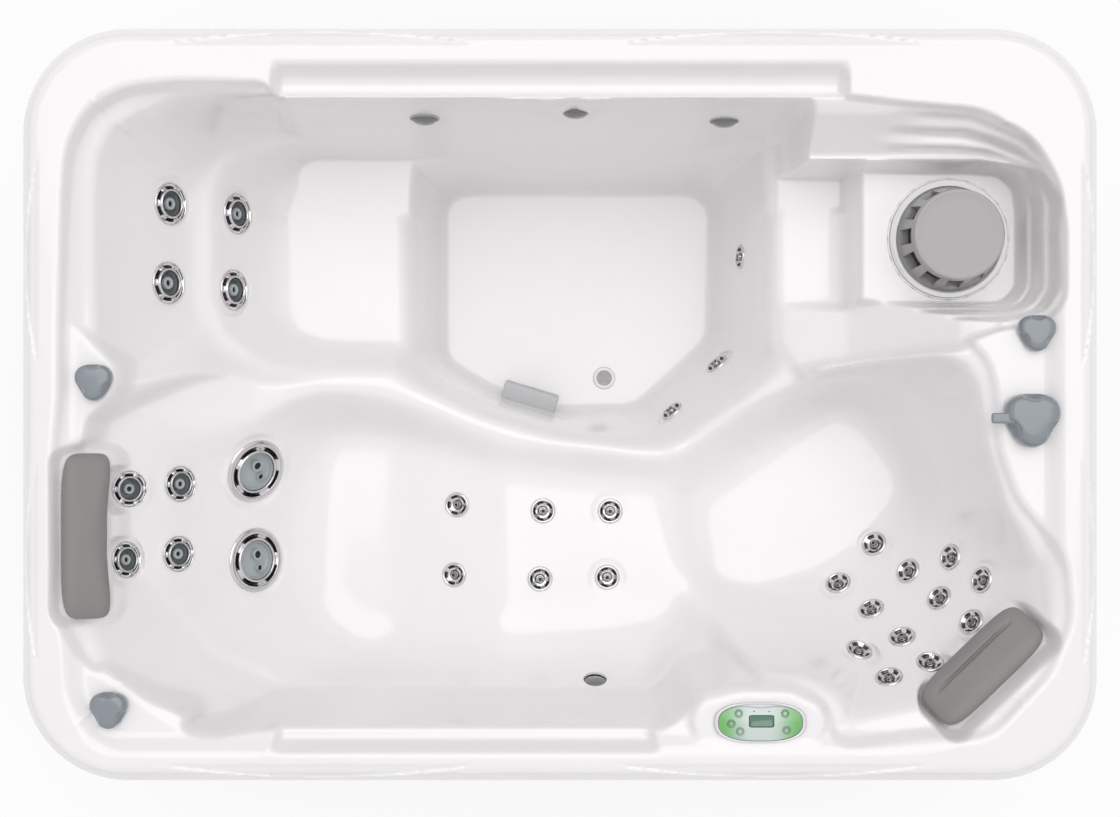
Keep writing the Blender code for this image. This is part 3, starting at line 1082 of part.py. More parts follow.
def make_pillows(shell):
    """Each pillow is a crowned pad with drawn-in sides on two pins that push into the shell."""
    for name, place, length, width, height, hollow in pillow_places():
        outline = pillow_outline(length, width, hollow)
        middle = Vector((0, -hollow / 2))
        girth = height * PILLOW_GIRTH_SHARE
        rings = [[place @ Vector((*p, CLEARANCE)) for p in inset(outline, PILLOW_DRAW)]]
        for ring in range(PILLOW_RINGS):
            angle = math.pi / 2 * ring / PILLOW_RINGS
            scale = math.cos(angle) ** PILLOW_CROWN_SHARE
            rise = girth + (height - girth) * math.sin(angle) ** PILLOW_CROWN_SHARE
            rings.append([place @ Vector((*(middle + (p - middle) * scale), rise)) for p in outline])
        rings.append([place @ Vector((*middle, height))])
        pillow = solid_of_rings(name, rings, PILLOW_GREY)
        if not hollow:
            share_along, share_across = PILLOW_SLOT_SHARES
            floor = height - PILLOW_SLOT_DEPTH - PILLOW_CROWN_FALL
            slot = place @ Matrix.Translation((0, share_across * width / 2, floor))
            size = (share_along * length, PILLOW_SLOT_WIDTH, OVERRUN)
            combine(pillow, centred_block(f"{name}_slot", size, slot, helper=True), "DIFFERENCE")
        room = prism(f"{name}_room", pillow_outline(length, width, hollow, CLEARANCE), 0, OVERRUN, place, helper=True)
        combine(shell, room, "DIFFERENCE")
        hole = PIN_RADIUS + CLEARANCE
        deep = -PIN_LENGTH - CLEARANCE
        for end in (-1, 1):
            at = place @ Matrix.Translation((end * PIN_SPREAD_SHARE * length / 2, 0, 0))
            profile = [(0, girth), (PIN_RADIUS, girth), (PIN_RADIUS, -PIN_LENGTH), (0, -PIN_LENGTH)]
            combine(pillow, turned(f"{name}_pin_{end + 2}", profile, PIN_SIDES, at, helper=True), "UNION")
            profile = [(0, OVERRUN), (hole, OVERRUN), (hole, deep), (0, deep)]
            combine(shell, turned(f"{name}_pin_hole_{end + 2}", profile, PIN_SIDES, at, helper=True), "DIFFERENCE")


def make_filter(shell):
    """The filter: a housing hung in the shell, a cartridge standing in it, the weir basket over it and the lid."""
    point, _ = sheet_place(WELL_PLACE_SHARES)
    place = Matrix.Translation(point)
    seat = CLEARANCE - JET_SEAT_DEPTH
    wide = FILTER_FLANGE_RADIUS + CLEARANCE
    narrow = WELL_RADIUS + CLEARANCE
    combine(shell, turned("filter_well_hole", [(0, OVERRUN), (wide, OVERRUN), (wide, -JET_SEAT_DEPTH),
                                               (narrow, -JET_SEAT_DEPTH), (narrow, -OVERRUN), (0, -OVERRUN)],
                          FILTER_SIDES, place, helper=True), "DIFFERENCE")
    top = seat + FILTER_FLANGE_HEIGHT
    inner = WELL_RADIUS - HOUSING_WALL
    bottom = -HOUSING_LENGTH
    housing = turned("filter_housing", [
        (0, bottom + HOUSING_WALL), (inner, bottom + HOUSING_WALL), (inner, top), (FILTER_FLANGE_RADIUS, top),
        (FILTER_FLANGE_RADIUS, seat), (WELL_RADIUS, seat), (WELL_RADIUS, bottom),
        (HOUSING_PORT_RADIUS, bottom), (HOUSING_PORT_RADIUS, bottom - HOUSING_PORT_LENGTH),
        (0, bottom - HOUSING_PORT_LENGTH)], FILTER_SIDES, place, GREY_ABS)
    bore = HOUSING_PORT_RADIUS - HOUSING_WALL
    combine(housing, turned("filter_port_bore", [(0, bottom + OVERRUN), (bore, bottom + OVERRUN),
                                                 (bore, bottom - HOUSING_PORT_LENGTH - OVERRUN),
                                                 (0, bottom - HOUSING_PORT_LENGTH - OVERRUN)], FILTER_SIDES, place,
                            helper=True), "DIFFERENCE")
    foot = top + CLEARANCE
    weir_top = foot + WEIR_HEIGHT
    weir = turned("weir_basket", [
        (WEIR_RADIUS - WEIR_WALL, foot), (WEIR_FLANGE_RADIUS, foot), (WEIR_FLANGE_RADIUS, foot + WEIR_FLANGE_HEIGHT),
        (WEIR_RADIUS, foot + WEIR_FLANGE_HEIGHT), (WEIR_RADIUS, weir_top), (WEIR_RADIUS - WEIR_WALL, weir_top)],
        FILTER_SIDES, place, GREY_ABS, closed=True)
    for number in range(WEIR_SLOTS):
        turn = Matrix.Rotation(math.tau * number / WEIR_SLOTS, 4, "Z")
        low = foot + WEIR_FLANGE_HEIGHT + WEIR_SLOT_FOOT
        at = place @ turn @ Matrix.Translation((WEIR_RADIUS, 0, low))
        size = (4 * WEIR_WALL, WEIR_SLOT_WIDTH, weir_top - WEIR_SLOT_HEAD - low)
        combine(weir, centred_block(f"weir_slot_{number + 1}", size, at, helper=True), "DIFFERENCE")
    origin_at(weir, point)
    rest = weir_top + CLEARANCE
    lid_top = rest + LID_THICKNESS
    lid = turned("filter_lid", [
        (0, lid_top), (LID_RADIUS - LID_EDGE, lid_top), (LID_RADIUS, lid_top - LID_EDGE), (LID_RADIUS, rest),
        (LID_LIP_RADIUS, rest), (LID_LIP_RADIUS, rest - LID_LIP_DEPTH), (0, rest - LID_LIP_DEPTH)],
        FILTER_SIDES, place, GREY_ABS)
    origin_at(lid, point)
    low = bottom + HOUSING_WALL + CLEARANCE
    high = low + CARTRIDGE_LENGTH
    wide = CARTRIDGE_RADIUS + CARTRIDGE_CAP_PROUD
    cartridge = turned("filter_cartridge", [
        (CARTRIDGE_BORE, low), (wide, low), (wide, low + CARTRIDGE_CAP), (CARTRIDGE_RADIUS, low + CARTRIDGE_CAP),
        (CARTRIDGE_RADIUS, high - CARTRIDGE_CAP), (wide, high - CARTRIDGE_CAP), (wide, high), (CARTRIDGE_BORE, high)],
        FILTER_SIDES, place, FILTER_WHITE, closed=True)
    origin_at(cartridge, point)


def end_outline(side, inward):
    """Half of the cabinet's outline at one end, drawn in by this much, from its back return to its front one."""
    half_length = TUB_LENGTH / 2 - LIP_OVERHANG - inward
    half_width = TUB_WIDTH / 2 - LIP_OVERHANG - inward
    radius = LIP_CORNER_RADIUS - LIP_OVERHANG - inward
    points = [Vector((side * cabinet_break(), half_width))]
    for sign in (1, -1):
        centre = Vector((side * (half_length - radius), sign * (half_width - radius)))
        for step in range(CABINET_ARC_STEPS + 1):
            share = step / CABINET_ARC_STEPS
            angle = math.pi / 2 * (1 - share if sign > 0 else -share)
            points.append(centre + Vector((side * radius * math.cos(angle), radius * math.sin(angle))))
    points.append(Vector((side * cabinet_break(), -half_width)))
    return points


def cabinet_break():
    """Where the ends stop and the straight panels start, from the middle."""
    return TUB_LENGTH / 2 - LIP_CORNER_RADIUS - CABINET_RETURN


def finish_shell(shell):
    """Make the cuts final and close up the slivers they leave, so that no two faces cross."""
    cut = bpy.data.meshes.new_from_object(shell.evaluated_get(bpy.context.evaluated_depsgraph_get()))
    work = bmesh.new()
    work.from_mesh(cut)
    bmesh.ops.triangulate(work, faces=work.faces)
    bmesh.ops.remove_doubles(work, verts=work.verts, dist=SLIVER)
    bmesh.ops.dissolve_degenerate(work, dist=SLIVER / 2, edges=work.edges)
    bmesh.ops.triangulate(work, faces=work.faces)
    work.to_mesh(shell.data)
    work.free()
    shell.modifiers.clear()


def make_cabinet():
    """Two C-shaped ends, the back panel and the front access panel, standing on the base pan."""
    low = BASE_THICKNESS + CLEARANCE
    high = TUB_HEIGHT - CABINET_HEAD_DEPTH
    for name, side in (("cabinet_left_end", -1), ("cabinet_right_end", 1)):
        outline = end_outline(side, 0) + list(reversed(end_outline(side, CABINET_WALL)))
        prism(name, outline, low, high, Matrix.Identity(4), CABINET_BROWN)
    reach = cabinet_break() - CLEARANCE
    outer = TUB_WIDTH / 2 - LIP_OVERHANG
    block("cabinet_back", (-reach, outer - CABINET_WALL, low), (reach, outer, high), CABINET_BROWN)
    panel = block("access_panel", (-reach, -outer, low), (reach, CABINET_WALL - outer, high), CABINET_BROWN)
    origin_at(panel, (0, -outer, low))


def make_base(drain_point):
    """The base pan, with the plinth that the footwell stands on and a hole in it for the drain."""
    outline = end_outline(-1, 0) + list(reversed(end_outline(1, 0)))
    base = prism("base_pan", outline, 0, BASE_THICKNESS, Matrix.Identity(4), BASE_BLACK)
    plinth = inset(rounded(FOOTWELL_FLOOR_SHARES, BASIN_CORNER), PLINTH_INSET)
    top = TUB_HEIGHT - FOOTWELL_DEPTH - SHELL_THICKNESS - CLEARANCE
    combine(base, prism("plinth", plinth, BASE_THICKNESS / 2, top, Matrix.Identity(4), helper=True), "UNION")
    hole = DRAIN_BARREL_RADIUS + DRAIN_HEIGHT
    deep = BASE_THICKNESS - FOOTWELL_FLOOR_HEIGHT
    well = [(0, 0), (hole, 0), (hole, deep), (0, deep)]
    combine(base, turned("drain_well", well, LIGHT_SIDES, Matrix.Translation(drain_point), helper=True), "DIFFERENCE")


def add_foot(made, centre, top):
    """A foot from the base pan up into a piece, as part of that piece."""
    low = BASE_THICKNESS + CLEARANCE
    place = Matrix.Translation((centre.x, centre.y, low))
    combine(made, centred_block(f"{made.name}_foot", (FOOT_LENGTH, FOOT_WIDTH, top - low), place, helper=True), "UNION")


def make_pump():
    """The circulation pump: wet end, impeller on its shaft, and motor, all on one axis along X."""
    axis = Vector((WET_END_PLACE, PUMP_LINE_SHARE * TUB_WIDTH / 2, PUMP_AXIS_HEIGHT))
    place = frame_at(axis, (1, 0, 0), (0, 1, 0))
    half = WET_END_LENGTH / 2
    shaft_hole = swept(SHAFT_RADIUS, EQUIPMENT_SIDES)
    port = SUCTION_PORT_RADIUS - SUCTION_PORT_WALL
    cavity = WET_END_RADIUS - WET_END_WALL
    wet_end = turned("pump_wet_end", [
        (shaft_hole, -half), (WET_END_RADIUS, -half), (WET_END_RADIUS, half), (SUCTION_PORT_RADIUS, half),
        (SUCTION_PORT_RADIUS, half + SUCTION_PORT_LENGTH), (port, half + SUCTION_PORT_LENGTH),
        (port, half - WET_END_WALL),
        (cavity, half - WET_END_WALL), (cavity, WET_END_WALL - half), (shaft_hole, WET_END_WALL - half)],
        EQUIPMENT_SIDES, place, MOTOR_BLACK, closed=True)
    add_foot(wet_end, axis, axis.z - cavity - WET_END_WALL / 2)
    back = -half - CLEARANCE
    depth = MOTOR_LENGTH / 8
    motor = turned("pump_motor", [
        (0, back - depth), (shaft_hole, back - depth), (shaft_hole, back), (MOTOR_RADIUS, back),
        (MOTOR_RADIUS, back - MOTOR_LENGTH), (0, back - MOTOR_LENGTH)], EQUIPMENT_SIDES, place, MOTOR_BLACK)
    add_foot(motor, axis - Vector((half + MOTOR_LENGTH / 2, 0, 0)), axis.z)
    blade = IMPELLER_THICKNESS / 2
    impeller = turned("pump_impeller", [
        (0, blade), (IMPELLER_RADIUS, blade), (IMPELLER_RADIUS, -blade), (SHAFT_RADIUS, -blade),
        (SHAFT_RADIUS, back - depth + CLEARANCE), (0, back - depth + CLEARANCE)], EQUIPMENT_SIDES, place, STEEL)
    origin_at(impeller, axis)
    return axis + Vector((half + SUCTION_PORT_LENGTH, 0, 0))


def make_heater(start):
    """The heater tube, coupled face to face to the pump's port, with its terminal box on top."""
    place = frame_at(start + Vector((CLEARANCE, 0, 0)), (1, 0, 0), (0, 1, 0))
    cap = HEATER_RADIUS + HEATER_CAP_PROUD
    heater = turned("heater", [
        (0, 0), (cap, 0), (cap, HEATER_CAP), (HEATER_RADIUS, HEATER_CAP), (HEATER_RADIUS, HEATER_LENGTH - HEATER_CAP),
        (cap, HEATER_LENGTH - HEATER_CAP), (cap, HEATER_LENGTH), (0, HEATER_LENGTH)],
        EQUIPMENT_SIDES, place, STEEL)
    middle = start + Vector((HEATER_LENGTH / 2, 0, 0))
    add_foot(heater, middle, middle.z)
    on_top = Matrix.Translation(middle)
    size = (HEATER_BOX_LENGTH, HEATER_BOX_WIDTH, HEATER_RADIUS + HEATER_BOX_RISE)
    combine(heater, centred_block("heater_box", size, on_top, helper=True), "UNION")


def make_control_box():
    """The control box, with the gland that a supply cable would enter."""
    centre = Vector((CONTROL_BOX_PLACE, CONTROL_BOX_LINE_SHARE * TUB_WIDTH / 2, BASE_THICKNESS + CLEARANCE))
    size = (CONTROL_BOX_LENGTH, CONTROL_BOX_WIDTH, CONTROL_BOX_HEIGHT)
    box = centred_block("control_box", size, Matrix.Translation(centre), GREY_ABS)
    at = centre + Vector((CONTROL_BOX_LENGTH / 2, 0, CONTROL_BOX_HEIGHT / 4))
    gland = [(0, GLAND_LENGTH), (GLAND_RADIUS / 2, GLAND_LENGTH), (GLAND_RADIUS, GLAND_LENGTH / 2),
             (GLAND_RADIUS, -GLAND_LENGTH), (0, -GLAND_LENGTH)]
    place = frame_at(at, (1, 0, 0), (0, 1, 0))
    combine(box, turned("control_box_gland", gland, LIGHT_SIDES, place, helper=True), "UNION")


def make_manifold():
    """The water supply manifold: a capped tube with a row of ports on top."""
    centre = Vector((SUPPLY_PLACE, MANIFOLD_LINE_SHARE * TUB_WIDTH / 2, SUPPLY_AXIS_HEIGHT))
    half = SUPPLY_LENGTH / 2
    place = frame_at(centre, (1, 0, 0), (0, 1, 0))
    supply = turned("supply_manifold", [(0, half), (SUPPLY_RADIUS, half), (SUPPLY_RADIUS, -half), (0, -half)],
                    EQUIPMENT_SIDES, place, PIPE_WHITE)
    for number in range(SUPPLY_PORTS):
        along = half * (2 * (number + 0.5) / SUPPLY_PORTS - 1)
        at = Matrix.Translation(centre + Vector((along, 0, 0)))
        combine(supply, turned(f"supply_port_{number + 1}", [
            (0, SUPPLY_RADIUS + SUPPLY_PORT_LENGTH), (SUPPLY_PORT_RADIUS, SUPPLY_RADIUS + SUPPLY_PORT_LENGTH),
            (SUPPLY_PORT_RADIUS, 0), (0, 0)], MANIFOLD_SIDES, at, helper=True), "UNION")
    add_foot(supply, centre, centre.z)


def make_drain_valve():
    """The drain valve behind the access panel: a short pipe with a lever on top and a foot."""
    x, y = VALVE_PLACE_SHARES[0] * TUB_LENGTH / 2, VALVE_PLACE_SHARES[1] * TUB_WIDTH / 2
    centre = Vector((x, y + VALVE_LENGTH / 2 + CABINET_WALL, VALVE_AXIS_HEIGHT))
    half = VALVE_LENGTH / 2
    place = frame_at(centre, (0, -1, 0), (1, 0, 0))
    valve = turned("drain_valve", [(0, half), (VALVE_RADIUS, half), (VALVE_RADIUS, -half), (0, -half)], MANIFOLD_SIDES,
                   place, PIPE_WHITE)
    low = BASE_THICKNESS + CLEARANCE
    foot = Matrix.Translation((centre.x, centre.y, low))
    size = (VALVE_HANDLE_WIDTH, VALVE_HANDLE_LENGTH, centre.z - low)
    combine(valve, centred_block("drain_valve_foot", size, foot, helper=True), "UNION")
    size = (VALVE_HANDLE_WIDTH, VALVE_HANDLE_LENGTH, VALVE_RADIUS + VALVE_HANDLE_WIDTH)
    combine(valve, centred_block("drain_valve_lever", size, Matrix.Translation(centre), helper=True), "UNION")


def build():
    for old in list(bpy.data.objects):
        bpy.data.objects.remove(old)
    shell = make_shell()
    make_jets(shell)
    make_corner_rows(shell)
    make_lights(shell)
    drain_point = make_drain(shell)
    make_suction(shell)
    make_knobs(shell)
    make_panel(shell)
    make_pillows(shell)
    make_filter(shell)
    finish_shell(shell)
    make_cabinet()
    make_base(drain_point)
    make_heater(make_pump())
    make_control_box()
    make_manifold()
    make_drain_valve()


if __name__ == "__main__":
    build()
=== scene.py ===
"""An acrylic hot tub seen from straight above: its visible pieces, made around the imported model."""

import json
import math

import bpy
import numpy as np
from mathutils import Matrix, Vector


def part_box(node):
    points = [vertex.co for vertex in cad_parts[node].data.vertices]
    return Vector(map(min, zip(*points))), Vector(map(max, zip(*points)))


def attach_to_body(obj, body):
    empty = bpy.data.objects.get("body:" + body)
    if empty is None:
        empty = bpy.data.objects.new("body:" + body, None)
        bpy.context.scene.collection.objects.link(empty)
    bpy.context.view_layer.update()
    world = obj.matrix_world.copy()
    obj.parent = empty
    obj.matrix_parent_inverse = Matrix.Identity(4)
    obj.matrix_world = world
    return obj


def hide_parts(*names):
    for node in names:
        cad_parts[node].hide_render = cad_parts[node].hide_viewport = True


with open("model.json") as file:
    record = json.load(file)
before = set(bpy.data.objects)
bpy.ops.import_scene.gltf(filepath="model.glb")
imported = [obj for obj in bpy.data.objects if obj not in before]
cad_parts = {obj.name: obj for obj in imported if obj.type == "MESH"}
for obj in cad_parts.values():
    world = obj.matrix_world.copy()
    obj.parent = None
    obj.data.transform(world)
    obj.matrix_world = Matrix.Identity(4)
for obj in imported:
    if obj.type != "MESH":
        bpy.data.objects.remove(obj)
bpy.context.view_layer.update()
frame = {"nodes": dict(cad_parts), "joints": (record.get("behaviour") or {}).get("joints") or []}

# Sizes of the tub, in metres, as the solids have them
TUB_LENGTH = 2.13
TUB_WIDTH = 1.492
TUB_HEIGHT = 0.76
LIP_CORNER_RADIUS = 0.21
LIP_ROLL = 0.04
LIP_DROP = 0.05
SKIRT_DEPTH = 0.062
SHEET_THICKNESS = 0.005
DECK_DEPTH = 0.02
DECK_EASE = 0.045
SHELF_DEPTH = 0.035
SHELF_EASE = 0.02
SHELF_SLOPE = 0.05
POD_DEPTH = 0.022
PAD_DEPTH = 0.006
FOOTWELL_DEPTH = 0.68

# Outlines of the shell's basins, going round each, as shares of half the tub's length and half its width
RIM = [
    (-0.922, 0.590), (-0.915, 0.708), (-0.876, 0.800), (-0.819, 0.842), (-0.755, 0.858),
    (-0.549, 0.861), (-0.530, 0.816), (0.530, 0.816), (0.635, 0.800), (0.773, 0.785),
    (0.876, 0.711), (0.924, 0.590), (0.935, 0.474), (0.935, -0.356), (0.928, -0.619),
    (0.829, -0.816), (0.736, -0.900), (0.626, -0.916), (-0.536, -0.916), (-0.549, -0.927),
    (-0.829, -0.927), (-0.876, -0.895), (-0.917, -0.777), (-0.926, -0.566),
]
WALL_HEAD = [
    (-0.915, 0.541), (-0.907, 0.673), (-0.870, 0.778), (-0.800, 0.831), (-0.704, 0.847), (-0.548, 0.847),
    (-0.518, 0.813), (0.530, 0.813), (0.639, 0.794), (0.774, 0.778), (0.874, 0.704), (0.922, 0.580),
    (0.933, 0.461), (0.933, 0.276), (0.904, 0.218), (0.815, 0.197), (0.755, 0.171), (0.791, 0.123),
    (0.807, 0.049), (0.813, -0.115), (0.848, -0.252), (0.892, -0.326), (0.933, -0.411), (0.941, -0.570),
    (0.898, -0.715), (0.787, -0.882), (0.685, -0.868), (0.537, -0.897), (0.507, -0.882), (0.496, -0.797),
    (0.444, -0.744), (0.333, -0.734), (0.259, -0.755), (0.233, -0.813), (0.193, -0.853), (-0.539, -0.853),
    (-0.680, -0.879), (-0.881, -0.686), (-0.926, -0.570), (-0.931, -0.120), (-0.922, 0.025), (-0.922, 0.197),
]
BACK_SHELF = [(-0.536, 0.913), (0.536, 0.913), (0.536, 0.800), (-0.536, 0.800)]
FRONT_SHELF = [(-0.536, -0.916), (0.184, -0.916), (0.184, -0.824), (-0.536, -0.824)]
SEAT_PAN = [
    (-0.540, 0.710), (-0.478, 0.743), (-0.187, 0.743), (-0.187, 0.162), (-0.478, 0.162),
    (-0.540, 0.206),
]
SEAT_BUCKET = [
    (-0.613, 0.741), (-0.672, 0.696), (-0.700, 0.606), (-0.700, 0.295), (-0.669, 0.188), (-0.589, 0.109),
    (-0.178, 0.092), (-0.178, 0.758), (-0.554, 0.758),
]
SEAT_HEAD = [
    (-0.911, 0.541), (-0.904, 0.673), (-0.867, 0.778), (-0.796, 0.826), (-0.704, 0.842), (-0.541, 0.842),
    (-0.481, 0.813), (0.074, 0.813), (0.074, -0.094), (-0.481, -0.073), (-0.759, -0.052), (-0.907, -0.015),
]
LOUNGE_BED = [
    (-0.464, -0.193), (-0.458, -0.099), (-0.346, -0.105), (-0.173, -0.175), (-0.115, -0.205), (0.082, -0.228),
    (0.247, -0.246), (0.247, -0.593), (-0.115, -0.605), (-0.289, -0.617), (-0.392, -0.658), (-0.464, -0.576),
]
LOUNGE_HEAD = [
    (-0.931, -0.173), (-0.931, -0.570), (-0.898, -0.728), (-0.759, -0.940), (-0.481, -1.125), (0.407, -1.125),
    (0.407, 0.012), (0.207, 0.044), (-0.156, 0.086), (-0.456, 0.184), (-0.759, 0.157), (-0.926, 0.118),
]
CORNER_PAN = [
    (0.583, 0.007), (0.708, -0.171), (0.712, -0.254), (0.525, -0.462), (0.408, -0.537), (0.323, -0.507),
    (0.308, -0.284),
]
CORNER_HEAD = [
    (0.444, 0.181), (0.630, 0.189), (0.715, 0.171), (0.778, 0.128), (0.804, 0.049), (0.809, -0.115),
    (0.844, -0.252), (0.889, -0.332), (0.926, -0.411), (0.937, -0.570), (0.889, -0.707), (0.787, -0.874),
    (0.685, -0.855), (0.537, -0.892), (0.507, -0.882), (0.496, -0.802), (0.444, -0.749), (0.333, -0.739),
    (0.259, -0.765), (0.185, -0.940), (-0.148, -0.940), (-0.111, 0.012), (0.259, 0.435),
]
ARM_TOP = [
    (-0.869, -0.045), (-0.727, 0.048), (-0.626, 0.088), (-0.313, 0.094), (-0.299, 0.128), (-0.299, 0.760),
    (0.424, 0.760), (0.428, 0.172), (0.457, 0.094), (0.545, -0.102), (0.485, -0.333), (0.374, -0.448),
    (0.283, -0.621), (0.248, -0.760), (-0.057, -0.737), (-0.170, -0.714), (-0.323, -0.783), (-0.396, -0.806),
    (-0.566, -0.783), (-0.679, -0.702), (-0.739, -0.598), (-0.808, -0.448),
]
FRONT_LEDGE = [
    (-0.895, -0.044), (-0.716, 0.092), (-0.616, 0.126), (-0.334, 0.138), (-0.324, 0.169), (-0.324, 0.762),
    (0.447, 0.762), (0.451, 0.197), (0.477, 0.115), (0.577, -0.101), (0.507, -0.356), (0.388, -0.484),
    (0.308, -0.640), (0.258, -0.839), (0.211, -0.833), (-0.111, -0.802), (-0.318, -0.810), (-0.390, -0.839),
    (-0.557, -0.839), (-0.696, -0.748), (-0.775, -0.617), (-0.855, -0.470),
]
ARM_HEAD = [
    (-0.922, 0.025), (-0.852, 0.065), (-0.581, 0.157), (-0.343, 0.171), (-0.333, 0.813), (0.481, 0.813),
    (0.481, 0.197), (0.593, 0.012), (0.555, -0.305), (0.398, -0.517), (0.315, -0.755), (0.250, -0.818),
    (0.185, -0.850), (-0.539, -0.855), (-0.680, -0.879), (-0.881, -0.686), (-0.926, -0.411),
]
FOOTWELL_FLOOR = [
    (-0.246, 0.654), (0.295, 0.654), (0.325, 0.601), (0.321, 0.215), (0.161, 0.005), (0.000, -0.005),
    (-0.147, 0.058), (-0.246, 0.146),
]
FOOTWELL_CREST = [
    (-0.346, 0.773), (0.422, 0.765), (0.422, 0.185), (0.450, 0.105), (0.247, -0.139), (0.169, -0.131),
    (0.000, -0.082), (-0.169, -0.010), (-0.285, 0.062), (-0.330, 0.093),
]
FILTER_FLOOR = [
    (0.348, 0.648), (0.852, 0.637), (0.875, 0.593), (0.875, 0.333), (0.852, 0.289), (0.348, 0.289),
]
FILTER_TERRACE = [
    (0.299, 0.662), (0.803, 0.662), (0.896, 0.620), (0.926, 0.545), (0.928, 0.305), (0.904, 0.241),
    (0.822, 0.220), (0.299, 0.220),
]
FILTER_HEAD = [
    (0.259, 0.805), (0.537, 0.805), (0.639, 0.792), (0.768, 0.778), (0.870, 0.704), (0.918, 0.583),
    (0.931, 0.461), (0.931, 0.276), (0.904, 0.213), (0.815, 0.197), (0.259, 0.181),
]
PENINSULA_TOP = [(0.341, 0.293), (0.805, 0.266), (0.814, 0.228), (0.805, 0.174), (0.341, 0.088)]
PENINSULA_HEAD = [(0.330, 0.335), (0.819, 0.281), (0.829, 0.227), (0.819, 0.160), (0.330, 0.034)]
LEFT_POD = [
    (-0.926, 0.208), (-0.904, 0.218), (-0.871, 0.176), (-0.823, 0.107), (-0.815, 0.060), (-0.837, 0.007),
    (-0.874, -0.036), (-0.882, -0.107), (-0.926, -0.107),
]
FRONT_POD = [
    (-0.889, -0.755), (-0.856, -0.686), (-0.760, -0.782), (-0.674, -0.834), (-0.760, -0.893),
    (-0.830, -0.898), (-0.882, -0.840),
]
PANEL_PAD = [
    (0.242, -0.831), (0.258, -0.778), (0.332, -0.752), (0.424, -0.752), (0.483, -0.791), (0.494, -0.844),
    (0.470, -0.897), (0.369, -0.910), (0.258, -0.904),
]

# Depths that change along the tub: places, and the depths there, in metres
ARM = ((-1.0, -0.79, -0.65, -0.49, -0.315, 0.26, 0.48), (0.05, 0.18, 0.26, 0.31, 0.34, 0.34, 0.305))
BED = ((-0.36, -0.12, 0.10, 0.30), (0.45, 0.385, 0.41, 0.41))
STEP = ((0.44, 0.60, 0.622), (0.30, 0.30, 0.18))
PENINSULA = ((0.44, 0.60, 0.80, 0.88), (0.31, 0.24, 0.06, 0.035))
SEAT_BACK = ((-0.75, -0.60), (0.27, 0.31))
BANK = ((0.45, 0.50), (0.03, 0.11))
SEAT_DEPTH = 0.45
CORNER_DEPTH = 0.46
LEDGE_RISE = 0.05

# How round the basins are: their outlines' corners, their walls' fillets, and the blend where two meet
WIDE_CORNER = 0.06
FILTER_CORNER = 0.05
TIGHT_CORNER = 0.03
SHELF_CORNER = 0.012
CORNER_SHARE = 0.45
PAN_FILLET = 0.12
WALL_FILLET = 0.06
BUCKET_FILLET = 0.05
FILLET = 0.025
SMALL_FILLET = 0.015
BLEND = 0.025
FINE_BLEND = 0.008
PAD_BLEND = 0.004
THINNEST = 0.0003
RIM_CORNER = 0.25
WALL_CORNER = 0.15
LONG_ARC_STEPS = 8
WALL_SLOPE = 7.0
POD_SLOPE = 4.0
POD_SPREAD = 0.03
LEAST_FILLET = 0.02
MOST_FOOT = 0.62
MOST_HEAD = 0.36

# Creases that the vacuum left in the back wall: where they run and how far they are there
UPPER_CREASE = ((-0.72, -0.55, -0.16, -0.06, 0.03, 0.10, 0.30, 0.62),
                (0.602, 0.605, 0.603, 0.594, 0.574, 0.598, 0.603, 0.608))
LOWER_CREASE = ((-0.60, -0.20, -0.10, 0.03, 0.14, 0.40), (0.575, 0.575, 0.575, 0.560, 0.572, 0.577))
CREASE_WIDTH = 0.011
CREASE_STRENGTH = -1.3
TERRACES = 3

# Where finer forms begin and end, each with the length it fades over; below zero it fades out.
# All are places on the tub, but the last two, which are depths of the seats.
UPPER_CREASE_START = (-0.74, 0.2)
UPPER_CREASE_END = (0.64, -0.1)
LOWER_CREASE_START = (-0.62, 0.1)
LOWER_CREASE_END = (0.46, -0.1)
TERRACE_START = (0.60, 0.15)
CRISP_START = (-0.70, 0.1)
CRISP_BAY = 0.62
CRISP_BAY_LINE = 0.12
CRISP_WALL_LINE = 0.40
CRISP_FADE = 0.03
SEATS_START = (0.25, 0.10)
SEATS_END = (0.56, -0.06)

# Crescents scooped in the rolled lip: the middles and the reach of those on the long sides and on the ends
CRESCENT_DEPTH = 0.004
CRESCENT_BOW = 0.72
CRESCENT_EDGE = 0.004
CRESCENT_FADE = 0.012
CRESCENT_MARGIN = 0.002
SIDE_CRESCENTS = ((-0.47, 0.42), 0.33)
END_CRESCENTS = ((0.28, -0.31), 0.215)

# The grid that becomes the sheet, and how many of its lines the soft edges are averaged over
SHEET_COLUMNS = 700
SHEET_ROWS = 480
LIP_LINES = 14
EASE_LINES = 2
SEAT_EASE_LINES = 7
SHEET_TRIANGLES = 150000
UNDERSIDE_SHARE = 0.22
REST_CORNER = 0.025
REST_EASE = 0.02
JET_PAD_MARGIN = 0.004
JET_PAD_EASE = 0.012

